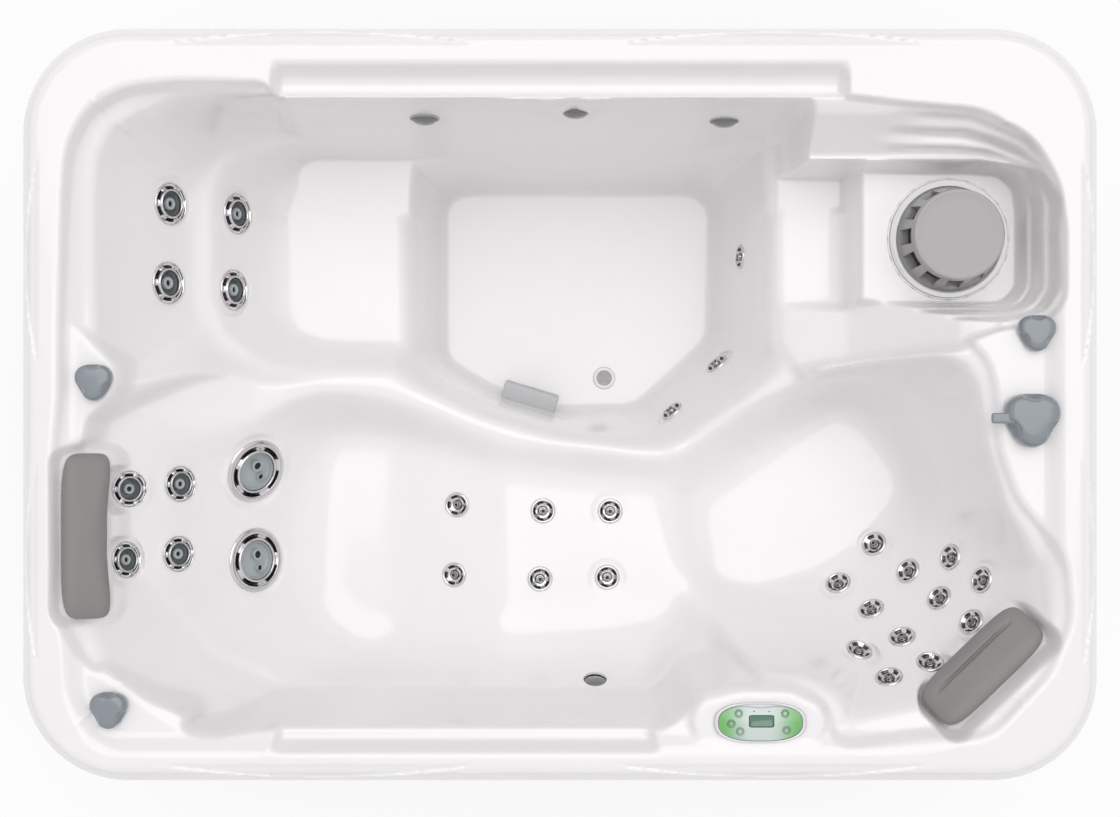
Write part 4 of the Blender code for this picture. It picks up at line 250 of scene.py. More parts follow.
# Round fittings: the radius of their rings and, for those that don't turn, their places as shares
SEAT_RING = 0.045
NECK_RING = 0.038
BACK_RING = 0.070
LOUNGE_RING = 0.028
FOOTWELL_RING = 0.028
CORNER_RING = 0.029
JET_HOLE_SHARE = 0.84
CORNER_ROWS = {
    "corner_jet_row_1": [(0.573, -0.525), (0.626, -0.587), (0.670, -0.650), (0.710, -0.706)],
    "corner_jet_row_2": [(0.650, -0.412), (0.704, -0.481), (0.749, -0.546), (0.793, -0.599)],
    "corner_jet_row_3": [(0.774, -0.432), (0.818, -0.486)],
    "corner_jet_row_4": [(0.586, -0.687), (0.629, -0.744)],
}
LIGHTS = {
    "back_light_left": (-0.260, 0.786),
    "back_light_middle": (0.029, 0.794),
    "back_light_right": (0.317, 0.783),
    "front_light": (0.070, -0.798),
}
LIGHT_RADIUS = 0.031
LIGHT_HOLE_SHARE = 0.8
DRAIN_PLACE = (0.097, 0.083)
SUCTION_PLACE = (-0.069, 0.004)
PANEL_PLACE = (0.369, -0.836)
FILTER_PLACE = (0.751, 0.457)
FILTER_HOLE_RADIUS = 0.1183

# Pillows: place, tilt and turn in degrees, length and width
PILLOW_RESTS = {
    "pillow_left": ((-0.882, -0.349), 22, -90, 0.328, 0.105),
    "pillow_corner": ((0.797, -0.708), 30, 44, 0.272, 0.107),
}

# Profiles round a jet's axis: radius and height as shares of the radius of its ring
JET_RING = (
    (0.57, -0.30), (0.57, 0.08), (0.585, 0.15), (0.62, 0.18), (0.66, 0.165), (0.69, 0.09), (0.74, 0.02),
    (0.82, 0.01), (0.87, 0.04), (0.90, 0.09), (0.94, 0.105), (0.985, 0.07), (1.0, 0.0), (0.97, -0.02),
    (0.64, -0.03), (0.64, -0.30),
)
BOWL_RING = (
    (0.33, -0.30), (0.34, -0.13), (0.40, -0.115), (0.50, -0.09), (0.60, -0.04), (0.69, 0.03), (0.76, 0.10),
    (0.81, 0.14), (0.86, 0.155), (0.92, 0.13), (0.97, 0.085), (1.0, 0.0), (0.97, -0.02), (0.62, -0.16),
    (0.50, -0.30),
)
WIDE_RING = (
    (0.605, -0.25), (0.605, 0.05), (0.615, 0.085), (0.64, 0.10), (0.67, 0.09), (0.69, 0.045), (0.72, 0.015),
    (0.78, 0.01), (0.80, 0.045), (0.83, 0.06), (0.90, 0.065), (0.95, 0.055), (0.99, 0.03), (1.0, 0.0),
    (0.97, -0.012), (0.70, -0.012), (0.70, -0.25),
)
JET_NOZZLE = (
    (0.10, -0.30), (0.12, -0.02), (0.15, 0.05), (0.18, 0.075), (0.25, 0.07), (0.285, 0.03), (0.30, -0.08),
    (0.34, -0.24), (0.46, -0.26), (0.53, -0.18), (0.565, 0.02), (0.565, -0.34),
)
SWIRL_NOZZLE = (
    (0.31, -0.28), (0.325, -0.06), (0.31, 0.10), (0.285, 0.15), (0.25, 0.155), (0.235, 0.12), (0.22, 0.12),
    (0.205, 0.20), (0.18, 0.235), (0.15, 0.24), (0.125, 0.225), (0.115, 0.17),
)
ROTOR = (
    (0.58, -0.24), (0.60, -0.05), (0.595, 0.03), (0.575, 0.04), (0.56, 0.0), (0.55, -0.10), (0.50, -0.15),
    (0.40, -0.155), (0.20, -0.14),
)
ROTOR_NOZZLES = ((0.17, 0.06, 0.17, 0.05), (0.12, 0.19, -0.25, -0.03))

# The three kinds of ring: profile, radius, sides, scoops, the band pressed down, its depth, and the band
# painted dark as shade and dark reflection.
# A band is its low and high share of the radius and half the angle of a scoop.
SEAT_ESCUTCHEON = (JET_RING, SEAT_RING, 48, 6, (0.72, 0.92, 0.30), 0.11, (0.70, 0.86, 0.30))
CORNER_ESCUTCHEON = (BOWL_RING, CORNER_RING, 48, 5, (0.56, 0.73, 0.34), 0.07, (0.53, 0.74, 0.38))
BACK_ESCUTCHEON = (WIDE_RING, BACK_RING, 64, 5, (0.71, 0.79, 0.36), 0.07, (0.69, 0.82, 0.40))
BOSS_SHARE = 0.3
DEEP_SHARE = -0.2

# Profiles of the lights: radius as a share of theirs, height in metres
LIGHT_BEZEL = (
    (0.86, -0.004), (0.86, 0.003), (0.90, 0.0042), (0.96, 0.0034), (1.0, 0.0), (0.98, -0.0006), (0.9, -0.004),
)
LIGHT_SHADE_CUP = ((0.84, -0.0035), (0.84, -0.001), (0.72, -0.002), (0.5, -0.0032))
LIGHT_DOME = (
    (0.85, -0.0008), (0.85, 0.003), (0.80, 0.0062), (0.70, 0.0092), (0.55, 0.0118), (0.36, 0.0136),
    (0.16, 0.0146), (0.0, 0.0149),
)

# Profiles in metres
DRAIN_COVER = (
    (0.026, -0.0005), (0.026, 0.0006), (0.0252, 0.0024), (0.0232, 0.0038), (0.0205, 0.0042), (0.0180, 0.0038),
    (0.0165, 0.0028), (0.0150, 0.0026), (0.0090, 0.0030), (0.0030, 0.0032),
)
BUTTON = (
    (0.0080, -0.003), (0.0084, 0.0), (0.0081, 0.0008), (0.0072, 0.0012), (0.0061, 0.0010), (0.0046, 0.0003),
    (0.0030, -0.0002), (0.0012, -0.0003),
)
FILTER_FLANGE = (
    (0.1140, -0.0100), (0.1140, 0.0010), (0.1165, 0.0034), (0.1200, 0.0040), (0.1245, 0.0036),
    (0.1260, 0.0020), (0.1260, -0.0004), (0.1180, -0.0006), (0.1180, -0.0100),
)
WEIR_WALL = (
    (0.0850, 0.0060), (0.0850, 0.0920), (0.0858, 0.0936), (0.0880, 0.0936), (0.0895, 0.0925),
    (0.1050, 0.0190), (0.1065, 0.0130), (0.1090, 0.0098), (0.1130, 0.0088), (0.1180, 0.0096),
    (0.1208, 0.0094), (0.1220, 0.0070), (0.1220, 0.0042), (0.0850, 0.0042),
)
LID = (
    (0.0830, 0.0850), (0.0830, 0.0945), (0.0918, 0.0950), (0.0920, 0.1010), (0.0914, 0.1050),
    (0.0896, 0.1075), (0.0865, 0.1083), (0.0835, 0.1080), (0.0800, 0.1073), (0.0600, 0.1078),
    (0.0300, 0.1082), (0.0080, 0.1083),
)
CARTRIDGE_CAP = (
    (0.0262, 0.0003), (0.0262, 0.0112), (0.0290, 0.0117), (0.0800, 0.0117), (0.0815, 0.0105),
    (0.0818, 0.0020), (0.0805, 0.0003),
)
CARTRIDGE_FOOT = -0.34 + 0.004 + 0.0003
CARTRIDGE_CAP_RISE = 0.258

# Levels that a form is drawn up through: a share of its outline and a height, the knobs' as shares of theirs
KNOB_LEVELS = (
    (0.74, 0.0), (0.80, 0.015), (0.93, 0.09), (0.99, 0.2), (1.0, 0.35), (0.995, 0.55), (0.975, 0.68),
    (0.93, 0.80), (0.86, 0.895), (0.75, 0.955), (0.60, 0.985), (0.40, 0.996), (0.2, 0.999), (0, 1.0),
)
FILM_LEVELS = ((1.0, 0.0078), (1.0, 0.0087), (0.99, 0.0089))
DISPLAY_LEVELS = ((1.0, 0.0086), (1.0, 0.0094), (0.96, 0.0096), (0.90, 0.0093))
EDGE_LEVELS = ((1.0, 0.0086), (1.0, 0.0091))
MARK = ((0.0013, 0.0088), (0.0013, 0.0093), (0.0008, 0.0096))
BEZEL_LEVELS = (
    (1.0, 0.0), (1.0, 0.0052), (0.993, 0.0070), (0.975, 0.0084), (0.95, 0.0089), (0.925, 0.0086),
    (0.912, 0.0080), (0.90, 0.0035),
)

# The panel, the suction cover, the knobs and the cabinet's boards
PANEL_LENGTH = 0.182
PANEL_WIDTH = 0.080
SUCTION_HALF = 0.0375
SUCTION_TOP = 0.04
SUCTION_NOSE = 0.008
SUCTION_LENGTH = 0.128
SUCTION_HOLE_RADIUS = 0.0021
SUCTION_HOLE_GAP = 0.0072
SUCTION_HOLES = 16
KNOB_RADIUS = 0.036
KNOB_HEIGHT = 0.028
DIVERTER_RADIUS = 0.053
DIVERTER_HEIGHT = 0.04
KNOB_LOBE = 0.09
KNOB_SCOOP_RADIUS = 0.62
KNOB_SCOOP_PLACE = 1.22
KNOB_SCOOP_RISE = 1.02
DIVERTER_TAB = ((-0.0825, -0.0105, 0.0235), (-0.03, 0.0105, 0.0335))
PILLOW_FORMS = (("pillow_left", 0.046, 0.018), ("pillow_corner", 0.044, 0.0))
PILLOW_SHOULDER = 0.35
PILLOW_ROUND = 14
CHANNEL_REACH = 0.38
CHANNEL_PLACE = 0.17
CHANNEL_HALF = 0.0035
CHANNEL_DEPTH = 0.0085
DRAIN_SLOT = ((0.0048, -0.0021, 0.0006), (0.0146, 0.0021, 0.01))
WEIR_SLOT = ((0.0865, -0.0155, 0.0230), (0.12, 0.0155, 0.0800))
WEIR_SLOTS = 12
PLEATS = 120
BOARDS = 6
BOARDS_FOOT = 0.0303
BOARDS_HEAD = 0.694
GROOVE_HALF = 0.004
GROOVE_DEPTH = 0.003
CABINET_INSET = 0.016

# The stage: floor, sky, sun, and the camera of the photograph, whose numbers are in its pixels
FLOOR_SIZE = 400
FLOOR_GLOW_SHARE = 0.85
WORLD_DIM_BELOW = 0.1
WORLD_BRIGHT_ABOVE = 0.45
WORLD_DIM = 0.16
WORLD_BRIGHT = 0.84
SUN_STRENGTH = 0.85
SUN_SPREAD = 50
SUN_SIDE = (0.10, 0.32, 1.0)
PICTURE_WIDTH = 1120
FOCAL_LENGTH = 1785
PICTURE_RISE = 4
SENSOR_WIDTH = 36
CAMERA_HEIGHT = 3.5


def rounded(shares, radius, steps=4):
    """A closed outline in metres from shares of the half sides, each corner turned by a short arc."""
    corners = [Vector((x * TUB_LENGTH / 2, y * TUB_WIDTH / 2)) for x, y in shares]
    points = []
    for before, corner, after in zip(corners[-1:] + corners[:-1], corners, corners[1:] + corners[:1]):
        back = before - corner
        ahead = after - corner
        half_angle = back.angle(ahead) / 2
        cut_off = min(radius / math.tan(half_angle) if half_angle < math.pi / 2 else radius,
                      CORNER_SHARE * back.length, CORNER_SHARE * ahead.length)
        for step in range(steps + 1):
            along = step / steps
            points.append(corner + back.normalized() * cut_off * (1 - along) ** 2
                          + ahead.normalized() * cut_off * along ** 2)
    return points


def signed_distance(x, y, outline):
    """Distance of each place from a closed outline, negative inside it."""
    nearest = np.full(np.shape(x), np.inf)
    inside = np.zeros(np.shape(x), bool)
    for start, end in zip(outline, outline[1:] + outline[:1]):
        side = end - start
        if side.length_squared == 0:
            continue
        across, up = x - start.x, y - start.y
        along = np.clip((across * side.x + up * side.y) / side.length_squared, 0, 1)
        nearest = np.minimum(nearest, (across - side.x * along) ** 2 + (up - side.y * along) ** 2)
        if side.y:
            crossed = (start.y > y) != (end.y > y)
            inside ^= crossed & (x < start.x + up * side.x / side.y)
    return np.where(inside, -1.0, 1.0) * np.sqrt(nearest)


def smooth_step(share):
    share = np.clip(share, 0, 1)
    return share * share * (3 - 2 * share)


def smooth_lower(a, b, blend):
    """The lower of two heights, with the edge between them rounded over this blend."""
    share = np.clip(0.5 + 0.5 * (b - a) / blend, 0, 1)
    return b + (a - b) * share - blend * share * (1 - share)


def smooth_upper(a, b, blend):
    return -smooth_lower(-a, -b, blend)


def wall_share(t, foot, head):
    """Share of a wall's rise at the share t of its width: eased in over foot and out over head."""
    steepest = 1 / (1 - foot / 2 - head / 2)
    low = steepest * t * t / (2 * foot)
    high = 1 - steepest * (1 - t) ** 2 / (2 * head)
    return np.where(t < foot, low, np.where(t < 1 - head, steepest * (t - foot / 2), high))


def fade(place, start, length):
    """A share that is 0 at start and 1 at this length from it."""
    return smooth_step((place - start) / length)


def stepped(share, count):
    """A slope turned into this many rounded steps."""
    risen = share * count
    part = risen - np.floor(risen)
    return np.clip((np.floor(risen) + smooth_step((part - 0.45) / 0.5)) / count, 0, 1)


def loft(x, y, *levels, beyond=None, steps=None):
    """Height over a basin, floor first: each level is an outline, its corners, depth and two fillets."""
    outline, corner, depth, foot, _ = levels[0]
    distance = signed_distance(x, y, rounded(outline, corner))
    height = -depth + np.zeros(np.shape(x))
    for outline, corner, next_depth, next_foot, head in levels[1:]:
        outward = np.maximum(distance, 0)
        distance = signed_distance(x, y, rounded(outline, corner))
        inward = np.maximum(-distance, 0)
        width = np.maximum(outward + inward, THINNEST)
        share = wall_share(outward / width, np.clip(foot / width, LEAST_FILLET, MOST_FOOT),
                           np.clip(head / width, LEAST_FILLET, MOST_HEAD))
        if steps is not None:
            share = share * (1 - steps) + stepped(outward / width, TERRACES) * steps
        rise = -depth + (depth - next_depth) * np.where(distance >= 0, 1, share)
        height = np.where(outward > 0, rise, height)
        depth, foot = next_depth, next_foot
    if beyond is not None:
        height = np.where(distance > 0, beyond, height)
    return height


def creased(y, line, strength):
    """Places moved along y so that a wall laid on them gets a small ledge where the line runs."""
    off = (y - line) / CREASE_WIDTH
    return y - strength * CREASE_WIDTH * off * np.exp(-off * off)


def sheet_height(x, y, fine=False):
    """Height of the sheet from the rim, so below zero, at each place; fine adds what the solids leave out."""
    wall_y = y
    steps = None
    if fine:
        upper = CREASE_STRENGTH * fade(x, *UPPER_CREASE_START) * fade(x, *UPPER_CREASE_END)
        lower = CREASE_STRENGTH * fade(x, *LOWER_CREASE_START) * fade(x, *LOWER_CREASE_END)
        wall_y = creased(wall_y, np.interp(x, *UPPER_CREASE), upper)
        wall_y = creased(wall_y, np.interp(x, *LOWER_CREASE), lower)
        steps = fade(x, *TERRACE_START)
    arm = np.interp(x, *ARM)
    seat = loft(x, wall_y,
                (SEAT_PAN, WIDE_CORNER, SEAT_DEPTH, PAN_FILLET, 0),
                (SEAT_BUCKET, WIDE_CORNER, np.interp(x, *SEAT_BACK), BUCKET_FILLET, FILLET),
                (SEAT_HEAD, WIDE_CORNER, DECK_DEPTH, 0, WALL_FILLET))
    arms = loft(x, wall_y,
                (ARM_TOP, TIGHT_CORNER, arm, FILLET, 0),
                (FRONT_LEDGE, TIGHT_CORNER, arm - LEDGE_RISE, FILLET, SMALL_FILLET),
                (ARM_HEAD, TIGHT_CORNER, DECK_DEPTH, 0, FILLET))
    lounge = loft(x, wall_y,
                  (LOUNGE_BED, WIDE_CORNER, np.interp(x, *BED), PAN_FILLET, 0),
                  (LOUNGE_HEAD, WIDE_CORNER, DECK_DEPTH, 0, WALL_FILLET))
    corner = loft(x, wall_y,
                  (CORNER_PAN, WIDE_CORNER, CORNER_DEPTH, PAN_FILLET, 0),
                  (CORNER_HEAD, WIDE_CORNER, DECK_DEPTH, 0, WALL_FILLET))
    ridge = loft(x, y,
                 (PENINSULA_TOP, TIGHT_CORNER, np.interp(x, *PENINSULA), SMALL_FILLET, 0),
                 (PENINSULA_HEAD, TIGHT_CORNER, DECK_DEPTH, 0, SMALL_FILLET))
    filter_bay = loft(x, y,
                      (FILTER_FLOOR, TIGHT_CORNER, np.interp(x, *STEP), SMALL_FILLET, 0),
                      (FILTER_TERRACE, FILTER_CORNER, np.interp(y, *BANK), SMALL_FILLET, SMALL_FILLET),
                      (FILTER_HEAD, FILTER_CORNER, DECK_DEPTH, 0, FILLET), steps=steps)
    footwell = loft(x, wall_y,
                    (FOOTWELL_FLOOR, WIDE_CORNER, FOOTWELL_DEPTH, FILLET, 0),
                    (FOOTWELL_CREST, TIGHT_CORNER, arm, 0, SMALL_FILLET), beyond=TUB_HEIGHT)
    height = -DECK_DEPTH + np.zeros(np.shape(x))
    for basin in (seat, arms, lounge, corner, ridge):
        height = smooth_lower(height, basin, BLEND)
    height = smooth_lower(height, filter_bay, FINE_BLEND)
    height = smooth_lower(height, footwell, BLEND)
    inside = np.maximum(-signed_distance(x, y, rounded(WALL_HEAD, WALL_CORNER, LONG_ARC_STEPS)), 0)
    height = smooth_upper(height, -DECK_DEPTH - WALL_SLOPE * inside, FINE_BLEND)
    into = -signed_distance(x, y, rounded(RIM, RIM_CORNER, LONG_ARC_STEPS))
    height = height + DECK_DEPTH * (1 - smooth_step(into / DECK_EASE))
    for outline, depth in ((LEFT_POD, POD_DEPTH), (FRONT_POD, POD_DEPTH), (PANEL_PAD, PAD_DEPTH)):
        outside = np.maximum(signed_distance(x, y, rounded(outline, TIGHT_CORNER)), 0)
        height = smooth_upper(height, -depth - POD_SLOPE * outside * (1 + outside / POD_SPREAD), PAD_BLEND)
    back = smooth_step((BACK_SHELF[0][1] * TUB_WIDTH / 2 - y) / SHELF_SLOPE)
    for outline, slope in ((BACK_SHELF, back), (FRONT_SHELF, 1)):
        into = -signed_distance(x, y, rounded(outline, SHELF_CORNER))
        height = np.minimum(height, -SHELF_DEPTH * smooth_step(into / SHELF_EASE) * slope)
    return height


def sheet_place(shares):
    """The point of the sheet above these shares, and the way the sheet faces there."""
    x = shares[0] * TUB_LENGTH / 2
    y = shares[1] * TUB_WIDTH / 2
    reach = 0.0125
    heights = sheet_height(np.array([x, x + reach, x - reach, x, x]),
                           np.array([y, y, y, y + reach, y - reach]))
    facing = Vector((heights[2] - heights[1], heights[4] - heights[3], 2 * reach)).normalized()
    return Vector((x, y, TUB_HEIGHT + float(heights[0]))), facing


def frame_at(point, facing, along=(1, 0, 0)):
    """A placement whose Z faces this way and whose X lies as near as it can to along."""
    up = Vector(facing).normalized()
    side = Vector(along) - up * up.dot(Vector(along))
    side.normalize()
    return Matrix.Translation(point) @ Matrix((side, up.cross(side), up)).transposed().to_4x4()


def lip_height(border, x, y):
    """The rolled lip falls away as a quarter ellipse, with two shallow crescents scooped along each side."""
    share = np.clip(1 - border / LIP_ROLL, 0, 1)
    height = -LIP_DROP * (1 - np.sqrt(1 - share * share))
    for across, along, half, (middles, reach) in ((y, x, TUB_WIDTH / 2, SIDE_CRESCENTS),
                                                  (x, y, TUB_LENGTH / 2, END_CRESCENTS)):
        on_side = half - np.abs(across) < border + CRESCENT_MARGIN
        for middle in middles:
            bow = 1 - ((along - middle) / reach) ** 2
            arc = LIP_ROLL * (1 - CRESCENT_BOW * bow)
            scoop = fade(border, arc, CRESCENT_EDGE) * fade(border, LIP_ROLL + CRESCENT_EDGE, -CRESCENT_FADE)
            depth = CRESCENT_DEPTH * scoop * np.clip(4 * bow, 0, 1)
            height = height - np.where(on_side & (bow > 0), depth, 0)
    return height


def jet_seats():
    """Every jet on the sheet: name, point, facing and ring radius. Those that turn come from their joints."""
    rings = {"seat_jet": SEAT_RING, "neck_jet": NECK_RING, "back_jet": BACK_RING, "lounge_jet": LOUNGE_RING,
             "footwell_jet": FOOTWELL_RING}
    seats = []
    for joint in frame["joints"]:
        stem = joint["child"].rsplit("_", 1)[0]
        if stem in rings:
            seats.append((joint["child"], Vector(joint["pos_m"]), Vector(joint["axis"]), rings[stem]))
    for row, places in CORNER_ROWS.items():
        for number, shares in enumerate(places, 1):
            seats.append((f"{row}.{number}", *sheet_place(shares), CORNER_RING))
    return seats


def pillow_rests():
    rests = {}
    for name, (shares, tilt, turn, length, width) in PILLOW_RESTS.items():
        point, _ = sheet_place(shares)
        turn = math.radians(turn)
        tilt = math.radians(tilt)
        along = Vector((math.cos(turn), math.sin(turn), 0))
        inward = Vector((-along.y, along.x, 0))
        facing = Vector((0, 0, 1)) * math.cos(tilt) + inward * math.sin(tilt)
        rests[name] = (frame_at(point, facing, along), length, width)
    return rests


def eased(heights, reach):
    """A grid of heights drawn soft, as the vacuum leaves them: each row and column is averaged."""
    steps = np.arange(-3 * reach, 3 * reach + 1)
    weights = np.exp(-(steps / reach) ** 2 / 2)
    weights = weights / weights.sum()
    for _ in range(2):
        padded = np.pad(heights, ((0, 0), (3 * reach, 3 * reach)), mode="edge")
        heights = sum(weight * padded[:, start:start + heights.shape[1]]
                      for start, weight in enumerate(weights)).T
    return heights


def flattened(height, plane, beyond, ease):
    """The sheet laid flat on a plane up to where beyond is 0, and eased back to its own height there."""
    return height + (plane - height) * (1 - smooth_step(beyond / ease))


def padded_height(x, y, grid):
    """The fine sheet, eased, with a rest under each pillow, and then a flat pad under each jet."""
    plain = sheet_height(x, y, fine=True).reshape(grid)
    line = np.where(x > CRISP_BAY, CRISP_BAY_LINE, CRISP_WALL_LINE)
    crisp = fade(x, *CRISP_START) * fade(y, line, CRISP_FADE)
    soft = eased(plain, EASE_LINES).ravel()
    seats = fade(-soft, *SEATS_START) * fade(-soft, *SEATS_END) * (1 - crisp)
    soft = soft + (eased(plain, SEAT_EASE_LINES).ravel() - soft) * seats
    height = soft + (eased(plain, 1).ravel() - soft) * crisp
    for place, length, width in pillow_rests().values():
        back = place.inverted()
        normal = place.to_3x3() @ Vector((0, 0, 1))
        centre = place.translation
        plane = centre.z - TUB_HEIGHT - (normal.x * (x - centre.x) + normal.y * (y - centre.y)) / normal.z
        along, up = (back[row][0] * x + back[row][1] * y + back[row][2] * (plane + TUB_HEIGHT) + back[row][3]
                     for row in range(2))
        beyond = np.hypot(np.maximum(np.abs(along) - length / 2 + REST_CORNER, 0),
                          np.maximum(np.abs(up) - width / 2 + REST_CORNER, 0)) - REST_CORNER
        height = flattened(height, plane, beyond, REST_EASE)
    for _, point, facing, ring in jet_seats():
        across, up = x - point.x, y - point.y
        plane = point.z - TUB_HEIGHT - (facing.x * across + facing.y * up) / facing.z
        away = np.sqrt(across ** 2 + up ** 2 + (plane + TUB_HEIGHT - point.z) ** 2)
        height = flattened(height, plane, away - ring - JET_PAD_MARGIN, JET_PAD_EASE)
    return height


def edit_mode():
    bpy.ops.object.mode_set(mode="EDIT")


def object_mode():
    bpy.ops.object.mode_set(mode="OBJECT")


def deselect_all():
    if bpy.context.object and bpy.context.object.mode != "OBJECT":
        object_mode()
    bpy.ops.object.select_all(action="DESELECT")


def take(piece):
    """Make this the only selected object, and the active one."""
    deselect_all()
    piece.select_set(True)
    bpy.context.view_layer.objects.active = piece
    return piece


def apply_modifier(piece, kind, **settings):
    take(piece)
    modifier = piece.modifiers.new(kind.title(), kind)
    for name, value in settings.items():
        setattr(modifier, name, value)
    bpy.ops.object.modifier_apply(modifier=modifier.name)


def bevel(piece, width, segments, degrees):
    apply_modifier(piece, "BEVEL", width=width, segments=segments, limit_method="ANGLE",
                   angle_limit=math.radians(degrees))


def settle(piece):
    """Move the object's place into its mesh, so that the object sits at the origin."""
    take(piece)
    bpy.ops.object.transform_apply(location=True, rotation=True, scale=True)
    return piece


def points_of(piece):
    flat = np.empty(len(piece.data.vertices) * 3)
    piece.data.vertices.foreach_get("co", flat)
    return flat.reshape(-1, 3)


def pick(piece, wanted):
    """Select these vertices in edit mode, in which the piece is left."""
    take(piece)
    edit_mode()
    bpy.ops.mesh.select_mode(type="VERT")
    bpy.ops.mesh.select_all(action="DESELECT")
    object_mode()
    piece.data.vertices.foreach_set("select", np.asarray(wanted, bool))
    edit_mode()


def pick_open_edges():
    """Select the active piece's open edges in edit mode, in which it is left."""
    edit_mode()
    bpy.ops.mesh.select_mode(type="EDGE")
    bpy.ops.mesh.select_all(action="DESELECT")
    bpy.ops.mesh.select_non_manifold(extend=False, use_wire=False, use_multi_face=False,
                                     use_non_contiguous=False)


def grid_lines(half, count):
    """Lines from edge to edge: close together over the rolled lip and even between."""
    lip = half - LIP_ROLL * np.linspace(0, 1, LIP_LINES) ** 1.3
    even = np.linspace(-lip[-1], lip[-1], count)
    return np.concatenate([-lip[:-1], even, lip[:-1][::-1]])


def lay_sheet():
    """A grid pressed into the tub's shape, its corners rounded and its skirt hung from the lip."""
    half_length, half_width = TUB_LENGTH / 2, TUB_WIDTH / 2
    columns, rows = grid_lines(half_length, SHEET_COLUMNS), grid_lines(half_width, SHEET_ROWS)
    deselect_all()
    bpy.ops.mesh.primitive_grid_add(x_subdivisions=len(columns) - 1, y_subdivisions=len(rows) - 1, size=2)
    sheet = bpy.context.object
    sheet.name = "shell_sheet"
    flat = points_of(sheet)
    x = columns[np.rint((flat[:, 0] + 1) / 2 * (len(columns) - 1)).astype(int)]
    y = rows[np.rint((flat[:, 1] + 1) / 2 * (len(rows) - 1)).astype(int)]
    out = np.maximum((np.abs(x) - half_length) / LIP_CORNER_RADIUS + 1, 0)
    up = np.maximum((np.abs(y) - half_width) / LIP_CORNER_RADIUS + 1, 0)
    reach = np.maximum(out, up)
    pull = np.where((out > 0) & (up > 0), reach / np.maximum(np.hypot(out, up), THINNEST), 1)
    x = np.where(pull < 1, np.sign(x) * (half_length + (out * pull - 1) * LIP_CORNER_RADIUS), x)
    y = np.where(pull < 1, np.sign(y) * (half_width + (up * pull - 1) * LIP_CORNER_RADIUS), y)
    border = np.where(reach > 0, (1 - reach) * LIP_CORNER_RADIUS, LIP_CORNER_RADIUS)
    height = padded_height(x, y, (len(rows), len(columns))) + lip_height(border, x, y)
    sheet.data.vertices.foreach_set("co", np.stack([x, y, height + TUB_HEIGHT], -1).ravel())
    sheet.data.update()
    apply_modifier(sheet, "DECIMATE", ratio=SHEET_TRIANGLES / (2 * len(sheet.data.polygons)))
    pick_open_edges()
    bpy.ops.mesh.extrude_region_move(TRANSFORM_OT_translate={"value": (0, 0, LIP_DROP - SKIRT_DEPTH)})
    object_mode()
    return sheet


def back_sheet(sheet):
    """Give the sheet its thickness: a coarser copy, drawn back along its normals and bridged at the skirt."""
    take(sheet)
    bpy.ops.object.duplicate()
    under = bpy.context.object
    apply_modifier(under, "DECIMATE", ratio=UNDERSIDE_SHARE)
    edit_mode()
    bpy.ops.mesh.select_all(action="SELECT")
    bpy.ops.transform.shrink_fatten(value=-SHEET_THICKNESS)
    bpy.ops.mesh.flip_normals()
    object_mode()
    points = points_of(under)
    points[:, 2] = np.clip(points[:, 2], TUB_HEIGHT - FOOTWELL_DEPTH - SHEET_THICKNESS, None)
    under.data.vertices.foreach_set("co", points.ravel())
    joined([sheet, under], sheet.name)
    pick_open_edges()
    bpy.ops.mesh.bridge_edge_loops()
    object_mode()
    return sheet


def drill(radius, reach, place):
    """A cylinder that cuts a hole this far to both sides of a placement."""
    deselect_all()
    bpy.ops.mesh.primitive_cylinder_add(vertices=48, radius=radius, depth=2 * reach)
    made = bpy.context.object
    made.data.transform(place)
    return made


def cut(piece, cutters):
    """Cut all of these from the piece at once and throw them away."""
    tool = joined(cutters, "cutter")
    apply_modifier(piece, "BOOLEAN", operation="DIFFERENCE", solver="MANIFOLD", object=tool)
    bpy.data.objects.remove(tool)


def make_shell():
    sheet = back_sheet(lay_sheet())
    holes = [drill(ring * JET_HOLE_SHARE, 0.02, frame_at(point, facing))
             for _, point, facing, ring in jet_seats()]
    for shares in LIGHTS.values():
        holes.append(drill(LIGHT_RADIUS * LIGHT_HOLE_SHARE, 0.02, frame_at(*sheet_place(shares))))
    holes.append(drill(FILTER_HOLE_RADIUS, 0.03, Matrix.Translation(sheet_place(FILTER_PLACE)[0])))
    cut(sheet, holes)
    sheet.name = "shell_visible"
    smooth(sheet, 50)
    apply_modifier(sheet, "WEIGHTED_NORMAL", keep_sharp=True)
    return sheet


class Signal:
    """A shader socket that Python's sums work on: each operator adds the node that does it."""

    def __init__(self, finish, socket):
        self.finish = finish
        self.socket = socket

    def sum_with(self, operation, *values):
        return self.finish.node("ShaderNodeMath", {"operation": operation}, self, *values)

    def __add__(self, other):
        return self.sum_with("ADD", other)

    def __sub__(self, other):
        return self.sum_with("SUBTRACT", other)

    def __mul__(self, other):
        return self.sum_with("MULTIPLY", other)

    def __abs__(self):
        return self.sum_with("ABSOLUTE")

    def larger(self, other):
        return self.sum_with("MAXIMUM", other)

    def above(self, edge, softness):
        """0 below this edge and 1 above it, with a soft change between."""
        return self.finish.node("ShaderNodeMapRange", {"interpolation_type": "SMOOTHSTEP"}, self,
                                edge - softness, edge + softness, 0.0, 1.0)


